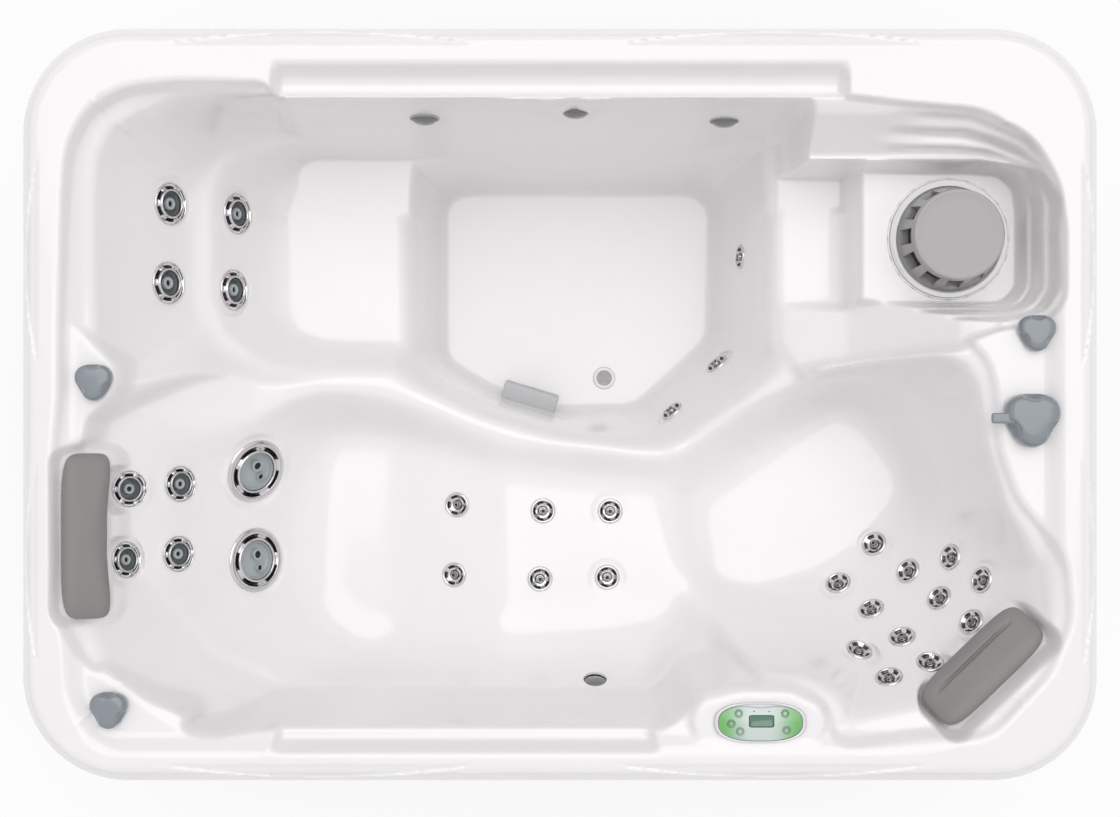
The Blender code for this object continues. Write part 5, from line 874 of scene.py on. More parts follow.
class Finish:
    """A material for one of the tub's surfaces, with the plain look of its Principled shader."""

    def __init__(self, name, colour, roughness, metallic=0.0, coat=0.0):
        self.material = bpy.data.materials.new(name)
        self.material.use_nodes = True
        self.tree = self.material.node_tree
        self.shader = self.tree.nodes["Principled BSDF"]
        self.put("Base Color", (*colour, 1))
        self.put("Roughness", roughness)
        self.put("Metallic", metallic)
        self.put("Coat Weight", coat)
        self.put("Coat Roughness", 0.04)

    def fill(self, socket, value):
        if isinstance(value, Signal):
            self.tree.links.new(value.socket, socket)
        elif value is not None:
            socket.default_value = value

    def put(self, socket, value):
        self.fill(self.shader.inputs[socket], value)

    def node(self, kind, settings, *values, output=0, **named):
        """A new node with these settings, its sockets filled by order or by name."""
        made = self.tree.nodes.new(kind)
        for name, value in settings.items():
            setattr(made, name, value)
        for socket, value in zip(made.inputs, values):
            self.fill(socket, value)
        for name, value in named.items():
            self.fill(made.inputs[name], value)
        return Signal(self, made.outputs[output])

    def place(self):
        """The place in the tub's own frame."""
        return self.node("ShaderNodeTexCoord", {}, output="Object")

    def noise(self, scale, detail=2.0, roughness=0.5, stretch=None):
        place = self.place()
        if stretch:
            place = self.node("ShaderNodeMapping", {}, place, Scale=stretch)
        return self.node("ShaderNodeTexNoise", {}, Vector=place, Scale=scale, Detail=detail,
                         Roughness=roughness)

    def blend(self, share, first, second):
        """Put a colour between these two on the surface."""
        unused = [None] * 5
        self.put("Base Color", self.node("ShaderNodeMix", {"data_type": "RGBA"}, share, *unused, (*first, 1),
                                         (*second, 1), output=2))

    def bump(self, height, distance):
        self.put("Normal", self.node("ShaderNodeBump", {}, Strength=1.0, Distance=distance, Height=height))


def acrylic():
    finish = Finish("acrylic", (0.86, 0.845, 0.85), 0.16, coat=0.4)
    finish.blend(finish.noise(5.0, 3.0), (0.875, 0.865, 0.87), (0.85, 0.835, 0.84))
    return finish.material


def pillow_skin():
    finish = Finish("pillow_skin", (0.25, 0.245, 0.24), 0.55)
    finish.bump(finish.noise(420.0, 3.0, 0.6), 0.0006)
    finish.put("Roughness", finish.noise(60.0) * 0.12 + 0.50)
    return finish.material


def panel_film(name, dark):
    """The panel's print: green at both ends and pale round the display."""
    finish = Finish(name, (0.3, 0.5, 0.3), 0.3, coat=0.5)
    x = finish.node("ShaderNodeSeparateXYZ", {}, finish.place())
    away = abs(x - PANEL_PLACE[0] * TUB_LENGTH / 2)
    pale = tuple(part * dark for part in (0.60, 0.68, 0.66))
    green = tuple(part * dark for part in (0.156, 0.456, 0.127))
    finish.blend(away.above(0.047, 0.030), pale, green)
    return finish.material


def wood():
    finish = Finish("cabinet_wood", (0.07, 0.045, 0.03), 0.5)
    grain = finish.noise(1.6, 5.0, 0.6, (2.0, 2.0, 60.0))
    finish.blend(grain, (0.045, 0.028, 0.019), (0.125, 0.080, 0.055))
    finish.bump(grain, 0.0008)
    return finish.material


def brushed_steel():
    finish = Finish("brushed_steel", (0.56, 0.56, 0.57), 0.3, metallic=1.0)
    finish.put("Roughness", finish.noise(1.0, 3.0, 0.5, (4.0, 300.0, 300.0)) * 0.2 + 0.22)
    return finish.material


def dress(piece, material):
    piece.data.materials.clear()
    piece.data.materials.append(material)
    return piece


def smooth(piece, angle=35):
    take(piece)
    bpy.ops.object.shade_smooth_by_angle(angle=math.radians(angle))
    return piece


def finished(piece, material, angle=35):
    """The piece shaded smooth below this angle and given its material."""
    return dress(smooth(piece, angle), material)


def paint_faces(piece, material, wanted):
    """Give the faces whose middles pass this test a material of their own."""
    piece.data.materials.append(material)
    slot = len(piece.data.materials) - 1
    for face in piece.data.polygons:
        if wanted(face.center):
            face.material_index = slot


def out_from_axis(middle):
    return math.hypot(middle.x, middle.y)


def move(place, *pieces):
    for piece in pieces:
        piece.data.transform(place)


def copy_of(model, name, place):
    """A copy with its own mesh, set down at this placement."""
    made = model.copy()
    made.data = model.data.copy()
    made.name = name
    bpy.context.scene.collection.objects.link(made)
    made.data.transform(place)
    return made


def joined(pieces, name):
    take(pieces[0])
    for piece in pieces[1:]:
        piece.select_set(True)
    if len(pieces) > 1:
        bpy.ops.object.join()
    pieces[0].name = name
    return pieces[0]


def attach(piece, body, *nodes, slot=None):
    """Let the piece move with its body and stand for these solids."""
    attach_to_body(piece, body)
    if nodes:
        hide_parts(*nodes)
    return piece


def close_up(piece, sides, bridged=False):
    """Fill the first loop of a drawn piece, or bridge it to the last one, and turn every face outward."""
    object_mode()
    places = np.arange(len(piece.data.vertices))
    pick(piece, (places < sides) | (bridged & (places >= len(places) - sides)))
    if bridged:
        bpy.ops.mesh.select_mode(type="EDGE")
        bpy.ops.mesh.bridge_edge_loops()
    else:
        bpy.ops.mesh.edge_face_add()
    bpy.ops.mesh.select_all(action="SELECT")
    bpy.ops.mesh.normals_make_consistent(inside=False)
    object_mode()
    return settle(piece)


def turned(name, profile, sides=48, hollow=False):
    """A piece turned round Z through (radius, height) points, its ends closed; hollow makes a ring."""
    wide, low = profile[0]
    deselect_all()
    bpy.ops.mesh.primitive_circle_add(vertices=sides, radius=wide, location=(0, 0, low), fill_type="NOTHING")
    piece = bpy.context.object
    piece.name = name
    edit_mode()
    bpy.ops.mesh.select_all(action="SELECT")
    for next_wide, high in profile[1:]:
        bpy.ops.mesh.extrude_region_move(TRANSFORM_OT_translate={"value": (0, 0, high - low)})
        if next_wide == 0:
            bpy.ops.mesh.merge(type="CENTER")
        elif next_wide != wide:
            bpy.ops.transform.resize(value=(next_wide / wide, next_wide / wide, 1))
        wide, low = next_wide, high
    if wide > 0 and not hollow:
        bpy.ops.mesh.edge_face_add()
    return close_up(piece, sides, hollow)


def raised(name, outline, levels, middle=(0, 0)):
    """A piece drawn up from an outline: each level is a share of it and a height; a share of 0 closes it."""
    deselect_all()
    bpy.ops.mesh.primitive_circle_add(vertices=len(outline), radius=1, fill_type="NOTHING")
    piece = bpy.context.object
    piece.name = name
    share, height = levels[0]
    centre = Vector((*middle, 0))
    for vertex, point in zip(piece.data.vertices, outline):
        vertex.co = centre + (Vector((*point, 0)) - centre) * share + Vector((0, 0, height))
    edit_mode()
    bpy.ops.mesh.select_all(action="SELECT")
    for next_share, next_height in levels[1:]:
        bpy.ops.mesh.extrude_region_move(TRANSFORM_OT_translate={"value": (0, 0, next_height - height)})
        if next_share == 0:
            bpy.ops.mesh.merge(type="CENTER")
        elif next_share != share:
            part = next_share / share
            bpy.ops.transform.resize(value=(part, part, 1), center_override=(*middle, next_height))
        share, height = next_share, next_height
    if share > 0:
        bpy.ops.mesh.edge_face_add()
    return close_up(piece, len(outline))


def scaled(profile, size):
    return [(wide * size, high * size) for wide, high in profile]


def chrome_ring(name, profile, radius, sides, scoops, pressed, depth, painted_shade_band):
    """A chrome escutcheon with finger scoops round it, their faces painted dark as shade and dark reflection.
    """
    ring = turned(name, scaled(profile, radius), sides, hollow=True)
    low, high, reach = pressed
    for number in range(scoops):
        turn = math.tau * (number + 0.5) / scoops
        points = points_of(ring)
        out = np.hypot(points[:, 0], points[:, 1]) / radius
        off = np.angle(np.exp(1j * (np.arctan2(points[:, 1], points[:, 0]) - turn)))
        pick(ring, (out > low) & (out < high) & (points[:, 2] > DEEP_SHARE * radius) & (np.abs(off) < reach))
        bpy.ops.transform.translate(value=(0, 0, -depth * radius))
        object_mode()
    apply_modifier(ring, "SUBSURF", levels=1, render_levels=1)
    # The band in each scoop that is painted dark, as shade and dark reflection.
    shade_low, shade_high, shade_reach = painted_shade_band

    def in_painted_shade(middle):
        turn = math.atan2(middle.y, middle.x) / math.tau * scoops - 0.5
        near = abs(turn - round(turn)) * math.tau / scoops < shade_reach
        return (middle.z > DEEP_SHARE * radius and near
                and shade_low * radius < out_from_axis(middle) < shade_high * radius)

    paint_faces(finished(ring, CHROME, 60), SCOOP_PAINTED_SHADE, in_painted_shade)
    return ring


def jet_hole(radius, wide, high):
    """Painted shade for the inside of a nozzle: a black stopper that sits short of its mouth."""
    profile = [(wide * radius * 0.9, (high - 0.2) * radius), (wide * radius, high * radius)]
    return finished(turned("jet_hole", profile, 24), PAINTED_HOLLOW_SHADE)


def make_jets():
    """Chrome jets with their nozzles, each turning with its own body; the corner's small ones stay still."""
    nozzle = finished(turned("jet_nozzle", scaled(JET_NOZZLE, SEAT_RING), 32), NOZZLE_GREY, 40)
    boss = BOSS_SHARE * SEAT_RING
    paint_faces(nozzle, BOSS_GREY, lambda middle: out_from_axis(middle) < boss and middle.z > -0.004)
    swirl = finished(turned("corner_nozzle", scaled(SWIRL_NOZZLE, CORNER_RING), 24), NOZZLE_CHROME, 40)
    models = {
        SEAT_RING: (
            chrome_ring("jet_ring", *SEAT_ESCUTCHEON), nozzle, jet_hole(SEAT_RING, 0.125, -0.02)),
        CORNER_RING: (
            chrome_ring("bowl_ring", *CORNER_ESCUTCHEON), swirl, jet_hole(CORNER_RING, 0.12, 0.215)),
    }
    rows = {}
    for name, point, facing, ring in jet_seats():
        place = frame_at(point, facing)
        if ring == BACK_RING:
            make_back_jet(name, place)
            continue
        size = SEAT_RING if ring in (SEAT_RING, NECK_RING) else CORNER_RING
        grown = place @ Matrix.Scale(ring / size, 4)
        piece, nozzle, shade_plug = (copy_of(model, f"{name}_{part}", grown)
                               for model, part in zip(models[size], ("ring", "nozzle", "hole")))
        nozzle = joined([nozzle, shade_plug], f"{name}_nozzle")
        if "." in name:
            rows.setdefault(name.split(".")[0], []).append((piece, nozzle))
            continue
        attach(piece, name, name)
        attach(nozzle, name, slot=name)
    for row, pairs in rows.items():
        attach(joined([ring for ring, _ in pairs], f"{row}_rings"), "tub", row)
        attach(joined([nozzle for _, nozzle in pairs], f"{row}_nozzles"), "tub", slot=row)
    for parts in models.values():
        for model in parts:
            bpy.data.objects.remove(model)


def make_back_jet(name, place):
    """One of the two large jets: a wide escutcheon round a grey rotor that spins, with two nozzles in it."""
    radius = BACK_RING
    ring = chrome_ring(f"{name}_ring", *BACK_ESCUTCHEON)
    rotor = turned(f"{name}_rotor_face", scaled(ROTOR, radius), 48)
    bevel(rotor, 0.0008, 2, 28)
    pieces = [finished(rotor, BOSS_GREY, 40)]
    for wide, x, y, rise in ROTOR_NOZZLES:
        bore = wide * 0.66
        shares = ((wide, -0.20), (wide, rise - 0.01), (wide * 0.95, rise), (wide * 0.72, rise),
                  (bore, rise - 0.02), (bore, -0.20))
        tube = turned("nozzle_tube", scaled(shares, radius), 32, hollow=True)
        # Each nozzle gets a black stopper of painted shade in its bore.
        shade_plug = turned("nozzle_shade_plug", scaled(((wide * 0.64, -0.19), (bore, rise - 0.05)), radius), 32)
        nozzle = [finished(tube, BOSS_GREY, 40), finished(shade_plug, PAINTED_HOLLOW_SHADE, 40)]
        move(Matrix.Translation((x * radius, y * radius, 0)), *nozzle)
        pieces += nozzle
    face = joined(pieces, f"{name}_rotor_face")
    move(place, ring, face)
    attach(ring, name, name)
    attach(face, f"{name}_rotor", f"{name}_rotor")


def box_piece(name, low, high, turn=0):
    """A box between two corners, turned round Z."""
    deselect_all()
    low, high = Vector(low), Vector(high)
    bpy.ops.mesh.primitive_cube_add(size=1, location=(low + high) / 2, scale=high - low)
    piece = settle(bpy.context.object)
    piece.name = name
    piece.data.transform(Matrix.Rotation(turn, 4, "Z"))
    return piece


def softened(piece, voxel, rounds):
    """The piece as one skin with its edges worn round."""
    apply_modifier(piece, "REMESH", mode="VOXEL", voxel_size=voxel)
    apply_modifier(piece, "SMOOTH", factor=0.5, iterations=rounds)
    take(piece)
    bpy.ops.object.shade_smooth()
    return piece


def superellipse(length, width, roundness, sides):
    points = []
    for number in range(sides):
        turn = math.tau * (number + 0.5) / sides
        out, up = math.cos(turn), math.sin(turn)
        points.append((math.copysign(abs(out) ** (2 / roundness), out) * length / 2,
                       math.copysign(abs(up) ** (2 / roundness), up) * width / 2))
    return points


def polar(turn, reach):
    return reach * math.cos(turn), reach * math.sin(turn)


def make_lights():
    """Four smoky lenses, each a dome in a thin grey bezel, with a black dish of painted shade behind it."""
    lens = Finish("lens_smoke", (0.17, 0.175, 0.18), 0.08, coat=0.8).material
    bezel = Finish("bezel_grey", (0.40, 0.40, 0.41), 0.25, coat=0.4).material
    forms = (("bezel", LIGHT_BEZEL, 48, True, bezel, 50), ("shade_cup", LIGHT_SHADE_CUP, 32, False, PAINTED_HOLLOW_SHADE, 35),
             ("lens", LIGHT_DOME, 48, False, lens, 50))
    for name, shares in LIGHTS.items():
        made = []
        for part, profile, sides, hollow, material, angle in forms:
            profile = [(LIGHT_RADIUS * wide, high) for wide, high in profile]
            made.append(finished(turned(f"{name}_{part}", profile, sides, hollow), material, angle))
        move(frame_at(*sheet_place(shares)), *made)
        rim, shade_cup, dome = made
        attach(joined([rim, shade_cup], f"{name}_bezel"), "tub", name)
        attach(dome, "tub", slot=name)


def make_drain():
    """The round white drain cover with its four slots."""
    cover = turned("floor_drain_cover", DRAIN_COVER)
    cut(cover, [box_piece("slot", *DRAIN_SLOT, math.radians(turn)) for turn in (45, 135, 225, 315)])
    # A black disc of painted shade lies under the slots.
    dark = dress(turned("floor_drain_painted_shade", [(0.0148, -0.0004), (0.0148, 0.0004)], 24), PAINTED_HOLLOW_SHADE)
    finished(cover, WHITE_PLASTIC)
    paint_faces(cover, LID_GREY, lambda middle: not 0.0180 < out_from_axis(middle) < 0.0248)
    move(Matrix.Translation(sheet_place(DRAIN_PLACE)[0]), cover, dark)
    attach(cover, "tub", "floor_drain")
    attach(dark, "tub", slot="floor_drain")


def make_suction():
    """The wedge over the suction port: its leaning face and its top are drilled all over."""
    point, facing = sheet_place(SUCTION_PLACE)
    place = frame_at(point, facing, Vector((0, 0, 1)).cross(-facing))
    low, high, top = -SUCTION_HALF, SUCTION_HALF, SUCTION_TOP
    side = [(low, -0.0008), (low, top), (high - top, top), (high, SUCTION_NOSE), (high, -0.0008)]
    wedge = raised("suction_cover_body", side, ((1, -SUCTION_LENGTH / 2), (1, SUCTION_LENGTH / 2)))
    bevel(wedge, 0.005, 3, 30)
    lean = Vector((top, SUCTION_NOSE - top, 0))
    across = Vector((-lean.y, lean.x, 0)).normalized()
    holes = []
    flat = Vector((top - 0.005, 0, 0))
    for start, run, outward, rows in ((Vector((high - top, top, 0)), lean, across, 6),
                                      (Vector((low, top, 0)), flat, Vector((0, 1, 0)), 4)):
        aim = outward.to_track_quat("Z", "Y").to_matrix().to_4x4()
        for row in range(rows):
            middle = start + run * (row + 0.8) / (rows + 0.6) + Vector((0, 0, -0.054))
            deselect_all()
            bpy.ops.mesh.primitive_cylinder_add(vertices=8, radius=SUCTION_HOLE_RADIUS, depth=0.006)
            hole = bpy.context.object
            hole.data.transform(Matrix.Translation(middle) @ aim)
            apply_modifier(hole, "ARRAY", count=SUCTION_HOLES, use_relative_offset=False,
                           use_constant_offset=True, constant_offset_displace=(0, 0, SUCTION_HOLE_GAP))
            holes.append(hole)
    dress(wedge, SUCTION_GREY)
    # The holes' walls take the black of painted shade.
    dress(holes[0], PAINTED_HOLLOW_SHADE)
    cut(wedge, holes)
    smooth(wedge, 40)
    move(place @ Matrix(((0, 0, 1, 0), (1, 0, 0, 0), (0, 1, 0, 0), (0, 0, 0, 1))), wedge)
    attach(wedge, "tub", "suction_cover")


def lobed_knob(name, radius, height):
    """A knob with three lobes and a thumb scoop between each pair of them."""
    turns = [math.tau * number / 96 for number in range(96)]
    outline = [polar(turn, radius * (1 + KNOB_LOBE * math.sin(3 * turn))) for turn in turns]
    knob = raised(name, outline, [(share, up * height + 0.0003) for share, up in KNOB_LEVELS])
    scoops = []
    for number in range(3):
        place = (*polar(math.radians(90 + 120 * number), KNOB_SCOOP_PLACE * radius), KNOB_SCOOP_RISE * height)
        deselect_all()
        bpy.ops.mesh.primitive_uv_sphere_add(segments=32, ring_count=20, radius=KNOB_SCOOP_RADIUS * radius,
                                             location=place)
        scoops.append(settle(bpy.context.object))
    cut(knob, scoops)
    return knob


def make_knobs():
    """Three air knobs, and the diverter with the tab on its side."""
    places = {joint["child"]: joint.get("pos_m") for joint in frame["joints"]}
    for name in ("air_knob_left", "air_knob_front", "air_knob_right", "water_diverter"):
        if name == "water_diverter":
            knob = lobed_knob(f"{name}_handle", DIVERTER_RADIUS, DIVERTER_HEIGHT)
            tab = box_piece("tab", *DIVERTER_TAB)
            apply_modifier(tab, "BEVEL", width=0.004, segments=3)
            knob = joined([knob, tab], f"{name}_handle")
            softened(knob, 0.0011, 6)
        else:
            knob = softened(lobed_knob(f"{name}_cap", KNOB_RADIUS, KNOB_HEIGHT), 0.0009, 5)
        dress(knob, KNOB_GREY)
        move(Matrix.Translation(Vector(places[name])), knob)
        attach(knob, name, name)


def make_pillows():
    """Two moulded foam pillows: crowned, drawn in at the foot, the left one hollowed towards the bather."""
    rests = pillow_rests()
    for name, height, hollow in PILLOW_FORMS:
        place, length, width = rests[name]
        outline = []
        for x, y in superellipse(length, width, 5, 120):
            bow = hollow * (1 - (2 * x / length) ** 2) if y > 0 else 0
            outline.append((x, y - max(bow, 0)))
        levels = [(0.955, 0.0006), (0.985, 0.006), (1.0, PILLOW_SHOULDER * height)]
        for ring in range(1, PILLOW_ROUND):
            turn = math.pi / 2 * ring / PILLOW_ROUND
            risen = PILLOW_SHOULDER + (1 - PILLOW_SHOULDER) * math.sin(turn) ** 0.75
            levels.append((math.cos(turn) ** 0.72, height * risen))
        levels.append((0, height))
        pillow = raised(f"{name}_pad", outline, levels, (0, -hollow / 2))
        if not hollow:
            reach, middle = CHANNEL_REACH * length, CHANNEL_PLACE * width
            cut(pillow, [box_piece("groove", (-reach, middle - CHANNEL_HALF, height - CHANNEL_DEPTH),
                                   (reach, middle + CHANNEL_HALF, height + 0.01))])
        softened(pillow, 0.0022, 4)
        dress(pillow, PILLOW_SKIN)
        pillow.data.transform(place)
        attach(pillow, name, name)


def make_panel():
    """The control panel: a silvery bezel, a printed film pinched at the top, a display and five buttons."""
    bezel = raised("control_panel_bezel", superellipse(PANEL_LENGTH, PANEL_WIDTH, 2.6, 96), BEZEL_LEVELS)
    finished(bezel, BEZEL)
    outline = []
    for x, y in superellipse(PANEL_LENGTH * 0.90, PANEL_WIDTH * 0.88, 2.5, 96):
        pinch = 0.0065 * math.exp(-(x / 0.034) ** 2) if y > 0 else 0.0015 * math.exp(-(x / 0.03) ** 2)
        outline.append((x, y - math.copysign(pinch, y)))
    film = finished(raised("control_panel_film", outline, FILM_LEVELS), PANEL_FILM)
    display = raised("control_panel_display", superellipse(0.046, 0.0205, 9, 48), DISPLAY_LEVELS)
    edge = raised("control_panel_display_edge", superellipse(0.050, 0.0245, 9, 48), EDGE_LEVELS)
    finished(display, DISPLAY, 30)
    finished(edge, DISPLAY_EDGE, 30)
    move(Matrix.Translation((0.002, 0.003, 0)), display, edge)
    marks = []
    for x in (-0.0127, 0.0167):
        mark = turned("control_panel_mark", MARK, 16)
        marks.append(finished(mark, DISPLAY_EDGE))
        move(Matrix.Translation((x, 0.0225, 0)), mark)
    point, _ = sheet_place(PANEL_PLACE)
    move(Matrix.Translation(point + Vector((0, 0, 0.0003))), bezel, film, display, edge, *marks)
    attach(bezel, "tub", "control_panel")
    for piece in (film, joined([display, edge, *marks], "control_panel_display")):
        attach(piece, "tub", slot="control_panel")
    button = finished(turned("button", BUTTON, 32), BUTTON_GREEN, 50)
    for joint in frame["joints"]:
        name = joint["child"]
        if name.startswith("button_"):
            low, high = (Vector(corner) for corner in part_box(name))
            top = Matrix.Translation(((low.x + high.x) / 2, (low.y + high.y) / 2, high.z - 0.0012))
            attach(copy_of(button, f"{name}_dimple", top), name, name)
    bpy.data.objects.remove(button)


def make_filter():
    """The filter bay's fittings: flange, slotted weir basket, lid, and the pleated cartridge below."""
    flange = finished(turned("filter_housing_flange", FILTER_FLANGE, 96, hollow=True), ACRYLIC, 40)
    weir = turned("weir_basket_wall", WEIR_WALL, 96, hollow=True)
    cut(weir, [box_piece("slot", *WEIR_SLOT, math.tau * number / WEIR_SLOTS) for number in range(WEIR_SLOTS)])
    finished(weir, WEIR_GREY)
    paint_faces(weir, WEIR_BAND, lambda middle: out_from_axis(middle) > 0.1075 and middle.z < 0.012)
    # The basket's inner wall, and a black sleeve within it, are painted shade, so the slots look dark.
    paint_faces(weir, PAINTED_HOLLOW_SHADE, lambda middle: out_from_axis(middle) < 0.0875 and middle.z < 0.085)
    inside = finished(turned("weir_basket_painted_shade", [(0.0835, 0.0050), (0.0835, 0.0800)], 64), PAINTED_HOLLOW_SHADE)
    lid = finished(turned("filter_lid_cap", LID, 96), LID_GREY)
    pleats = [polar(math.tau * number / PLEATS, 0.0800 if number % 2 else 0.0715) for number in range(PLEATS)]
    cloth = dress(raised("filter_cartridge_pleats", pleats, [
        (1, CARTRIDGE_FOOT + 0.010), (1, CARTRIDGE_FOOT + 0.262)]), FLEECE)
    caps = []
    for low in (CARTRIDGE_FOOT, CARTRIDGE_FOOT + CARTRIDGE_CAP_RISE):
        profile = [(wide, low + high) for wide, high in CARTRIDGE_CAP]
        caps.append(finished(turned("filter_cartridge_cap", profile, 64, hollow=True), CAP_BLUE, 40))
    move(Matrix.Translation(sheet_place(FILTER_PLACE)[0]), flange, weir, inside, lid, cloth, *caps)
    attach(flange, "tub", slot="filter_housing")
    attach(joined([weir, inside], "weir_basket_wall"), "weir_basket", "weir_basket")
    attach(lid, "filter_lid", "filter_lid")
    attach(joined([cloth, *caps], "filter_cartridge_pleats"), "filter_cartridge", "filter_cartridge")


def border_distance(points):
    """How far inside the cabinet's outline each point lies, seen from above."""
    radius = LIP_CORNER_RADIUS - CABINET_INSET
    out = np.abs(points[:, 0]) - (TUB_LENGTH / 2 - CABINET_INSET) + radius
    up = np.abs(points[:, 1]) - (TUB_WIDTH / 2 - CABINET_INSET) + radius
    return radius - np.hypot(np.maximum(out, 0), np.maximum(up, 0)) - np.minimum(np.maximum(out, up), 0)


def pick_all(piece):
    pick(piece, np.ones(len(piece.data.vertices), bool))


def merged_copy(node, name):
    """A copy of a solid with its doubles merged, free to be reshaped."""
    piece = copy_of(node, name, Matrix.Identity(4))
    piece.parent = None
    piece.matrix_world = Matrix.Identity(4)
    piece.hide_render = False
    pick_all(piece)
    bpy.ops.mesh.remove_doubles(threshold=0.00005)
    bpy.ops.mesh.dissolve_limited(angle_limit=math.radians(1))
    object_mode()
    return piece


def make_cabinet():
    """The brown cabinet, its panels parted into boards by V-grooves."""
    for name in ("cabinet_left_end", "cabinet_right_end", "cabinet_back", "access_panel"):
        skin = merged_copy(frame["nodes"][name], f"{name}_boards")
        for number in range(1, BOARDS):
            height = BOARDS_FOOT + (BOARDS_HEAD - BOARDS_FOOT) * number / BOARDS
            for level in (height - GROOVE_HALF, height, height + GROOVE_HALF):
                pick_all(skin)
                bpy.ops.mesh.bisect(plane_co=(0, 0, level), plane_no=(0, 0, 1))
                object_mode()
            points = points_of(skin)
            pick(skin, (np.abs(points[:, 2] - height) < 0.0005) & (border_distance(points) < 0.002))
            bpy.ops.transform.shrink_fatten(value=-GROOVE_DEPTH)
            object_mode()
        finished(skin, WOOD, 30)
        attach(skin, "access_panel" if name == "access_panel" else "tub", name)


def dress_equipment():
    """The solids that show as they are get the finish of the real thing."""
    black = Finish("motor_black", (0.022, 0.023, 0.025), 0.35, coat=0.3).material
    grey = Finish("grey_abs", (0.27, 0.29, 0.31), 0.4).material
    white = Finish("pipe_white", (0.74, 0.74, 0.73), 0.3).material
    for name, material in (
            ("filter_housing", grey), ("control_box", grey), ("pump_wet_end", black), ("pump_motor", black),
            ("base_pan", Finish("base_black", (0.018, 0.018, 0.019), 0.55).material),
            ("pump_impeller", Finish("impeller_grey", (0.11, 0.115, 0.125), 0.4).material),
            ("heater", brushed_steel()), ("supply_manifold", white), ("drain_valve", white)):
        dress(frame["nodes"][name], material)


def studio_white():
    """A pale floor that glows white to the eye, to metal and to glass, and still keeps a soft shadow."""
    finish = Finish("studio_white", (0.93, 0.93, 0.93), 0.9)
    eye, metal, glass = (finish.node("ShaderNodeLightPath", {}, output=f"Is {ray} Ray")
                         for ray in ("Camera", "Glossy", "Transmission"))
    share = eye.larger(metal).larger(glass) * FLOOR_GLOW_SHARE
    plain = Signal(finish, finish.shader.outputs[0])
    either = finish.node("ShaderNodeMixShader", {}, share, plain,
                         finish.node("ShaderNodeEmission", {}, Strength=1.0))
    finish.fill(finish.tree.nodes["Material Output"].inputs["Surface"], either)
    return finish.material


def studio_world():
    """A room that is bright overhead and dim along the horizon, so that chrome has something dark to show."""
    world = bpy.data.worlds.new("studio")
    world.use_nodes = True
    tree = world.node_tree
    background = tree.nodes["Background"]
    place = tree.nodes.new("ShaderNodeTexCoord")
    split = tree.nodes.new("ShaderNodeSeparateXYZ")
    ramp = tree.nodes.new("ShaderNodeMapRange")
    ramp.interpolation_type = "SMOOTHSTEP"
    levels = (WORLD_DIM_BELOW, WORLD_BRIGHT_ABOVE, WORLD_DIM, WORLD_BRIGHT)
    for socket, value in zip(ramp.inputs[1:5], levels):
        socket.default_value = value
    tree.links.new(place.outputs["Generated"], split.inputs[0])
    tree.links.new(split.outputs["Z"], ramp.inputs[0])
    tree.links.new(ramp.outputs[0], background.inputs["Strength"])
    background.inputs["Color"].default_value = (1, 0.985, 0.99, 1)
    return world


def set_the_stage():
    """A pale floor, a soft sun from above and the camera straight over the tub."""
    deselect_all()
    bpy.ops.mesh.primitive_plane_add(size=FLOOR_SIZE, location=(0, 0, -0.001))
    floor = bpy.context.object
    floor.name = "studio_floor"
    settle(floor)
    floor.data.materials.append(studio_white())
    scene = bpy.context.scene
    scene.world = studio_world()
    lamp = bpy.data.lights.new("overhead", "SUN")
    lamp.energy = SUN_STRENGTH
    lamp.angle = math.radians(SUN_SPREAD)
    holder = bpy.data.objects.new("overhead", lamp)
    holder.rotation_euler = Vector(SUN_SIDE).to_track_quat("Z", "Y").to_euler()
    scene.collection.objects.link(holder)
    view = bpy.data.cameras.new("photo_camera")
    view.sensor_width = SENSOR_WIDTH
    view.lens = SENSOR_WIDTH * FOCAL_LENGTH / PICTURE_WIDTH
    view.shift_y = -PICTURE_RISE / PICTURE_WIDTH
    camera = bpy.data.objects.new("photo_camera", view)
    camera.location = (0, 0, TUB_HEIGHT + CAMERA_HEIGHT)
    scene.collection.objects.link(camera)
    scene.camera = camera
    scene.view_settings.view_transform = "Standard"


ACRYLIC = acrylic()
CHROME = Finish("chrome", (0.70, 0.69, 0.695), 0.07, metallic=1.0).material
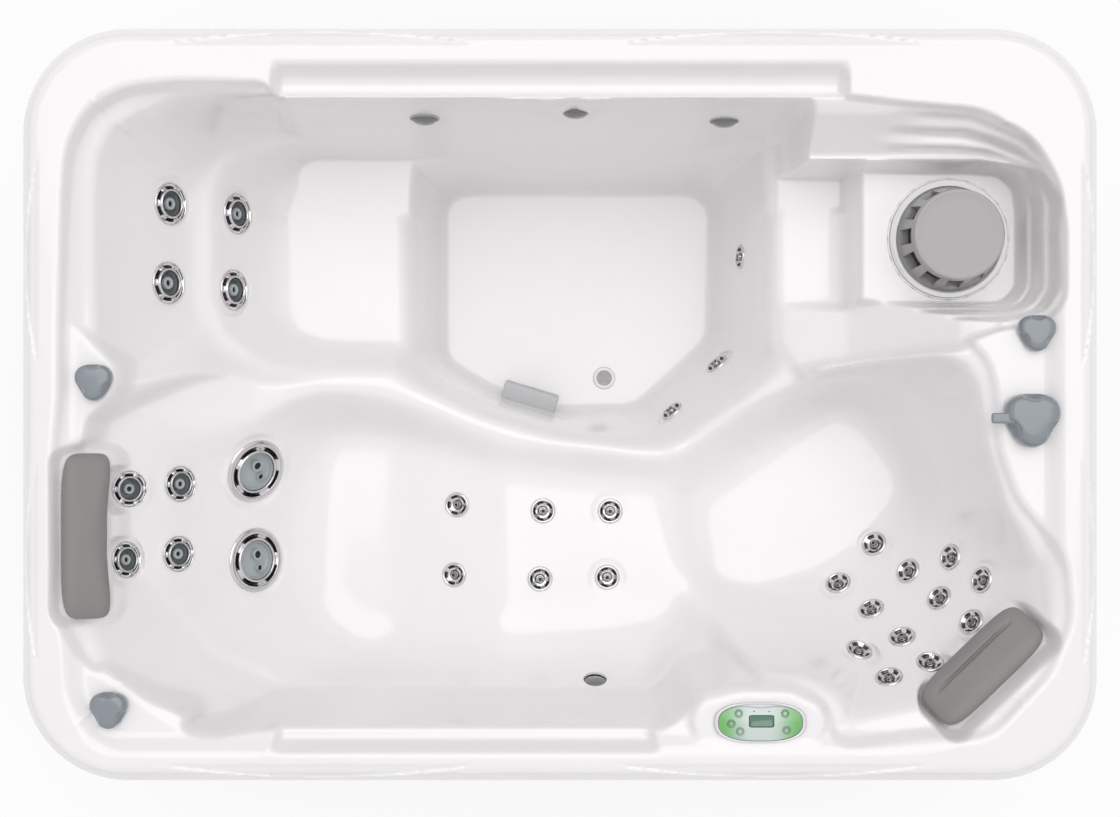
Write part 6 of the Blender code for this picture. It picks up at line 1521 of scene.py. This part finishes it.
# Painted shade and dark reflection, laid on the chrome rings' scoops.
SCOOP_PAINTED_SHADE = Finish("scoop_painted_shade", (0.09, 0.088, 0.09), 0.18, metallic=1.0).material
NOZZLE_CHROME = Finish("nozzle_chrome", (0.42, 0.42, 0.43), 0.14, metallic=1.0).material
NOZZLE_GREY = Finish("nozzle_grey", (0.17, 0.19, 0.20), 0.28, coat=0.3).material
BOSS_GREY = Finish("boss_grey", (0.40, 0.44, 0.45), 0.3, coat=0.3).material
# Painted shade: black laid in holes, nozzles and hollows where there is only shade.
PAINTED_HOLLOW_SHADE = Finish("painted_hollow_shade", (0.008, 0.008, 0.009), 0.6).material
KNOB_GREY = Finish("knob_grey", (0.235, 0.262, 0.29), 0.22, coat=0.5).material
LID_GREY = Finish("lid_grey", (0.38, 0.365, 0.375), 0.32, coat=0.15).material
WEIR_GREY = Finish("weir_grey", (0.30, 0.295, 0.30), 0.25, coat=0.3).material
WEIR_BAND = Finish("weir_band", (0.42, 0.415, 0.42), 0.12, metallic=0.5, coat=0.3).material
WHITE_PLASTIC = Finish("white_plastic", (0.80, 0.80, 0.80), 0.3).material
SUCTION_GREY = Finish("suction_grey", (0.52, 0.53, 0.54), 0.4).material
BEZEL = Finish("bezel_silver", (0.72, 0.72, 0.75), 0.25, metallic=0.35).material
DISPLAY = Finish("display_glass", (0.091, 0.205, 0.141), 0.12, coat=0.6).material
DISPLAY_EDGE = Finish("display_edge", (0.03, 0.07, 0.05), 0.4).material
FLEECE = Finish("fleece", (0.74, 0.78, 0.83), 0.9).material
CAP_BLUE = Finish("cap_blue", (0.10, 0.22, 0.42), 0.5).material
PILLOW_SKIN = pillow_skin()
PANEL_FILM = panel_film("panel_film", 1.0)
BUTTON_GREEN = panel_film("button_green", 0.55)
WOOD = wood()

shell = dress(make_shell(), ACRYLIC)
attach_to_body(shell, "tub")
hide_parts("acrylic_shell")
make_jets()
make_lights()
make_drain()
make_suction()
make_knobs()
make_pillows()
make_panel()
make_filter()
make_cabinet()
dress_equipment()
set_the_stage()
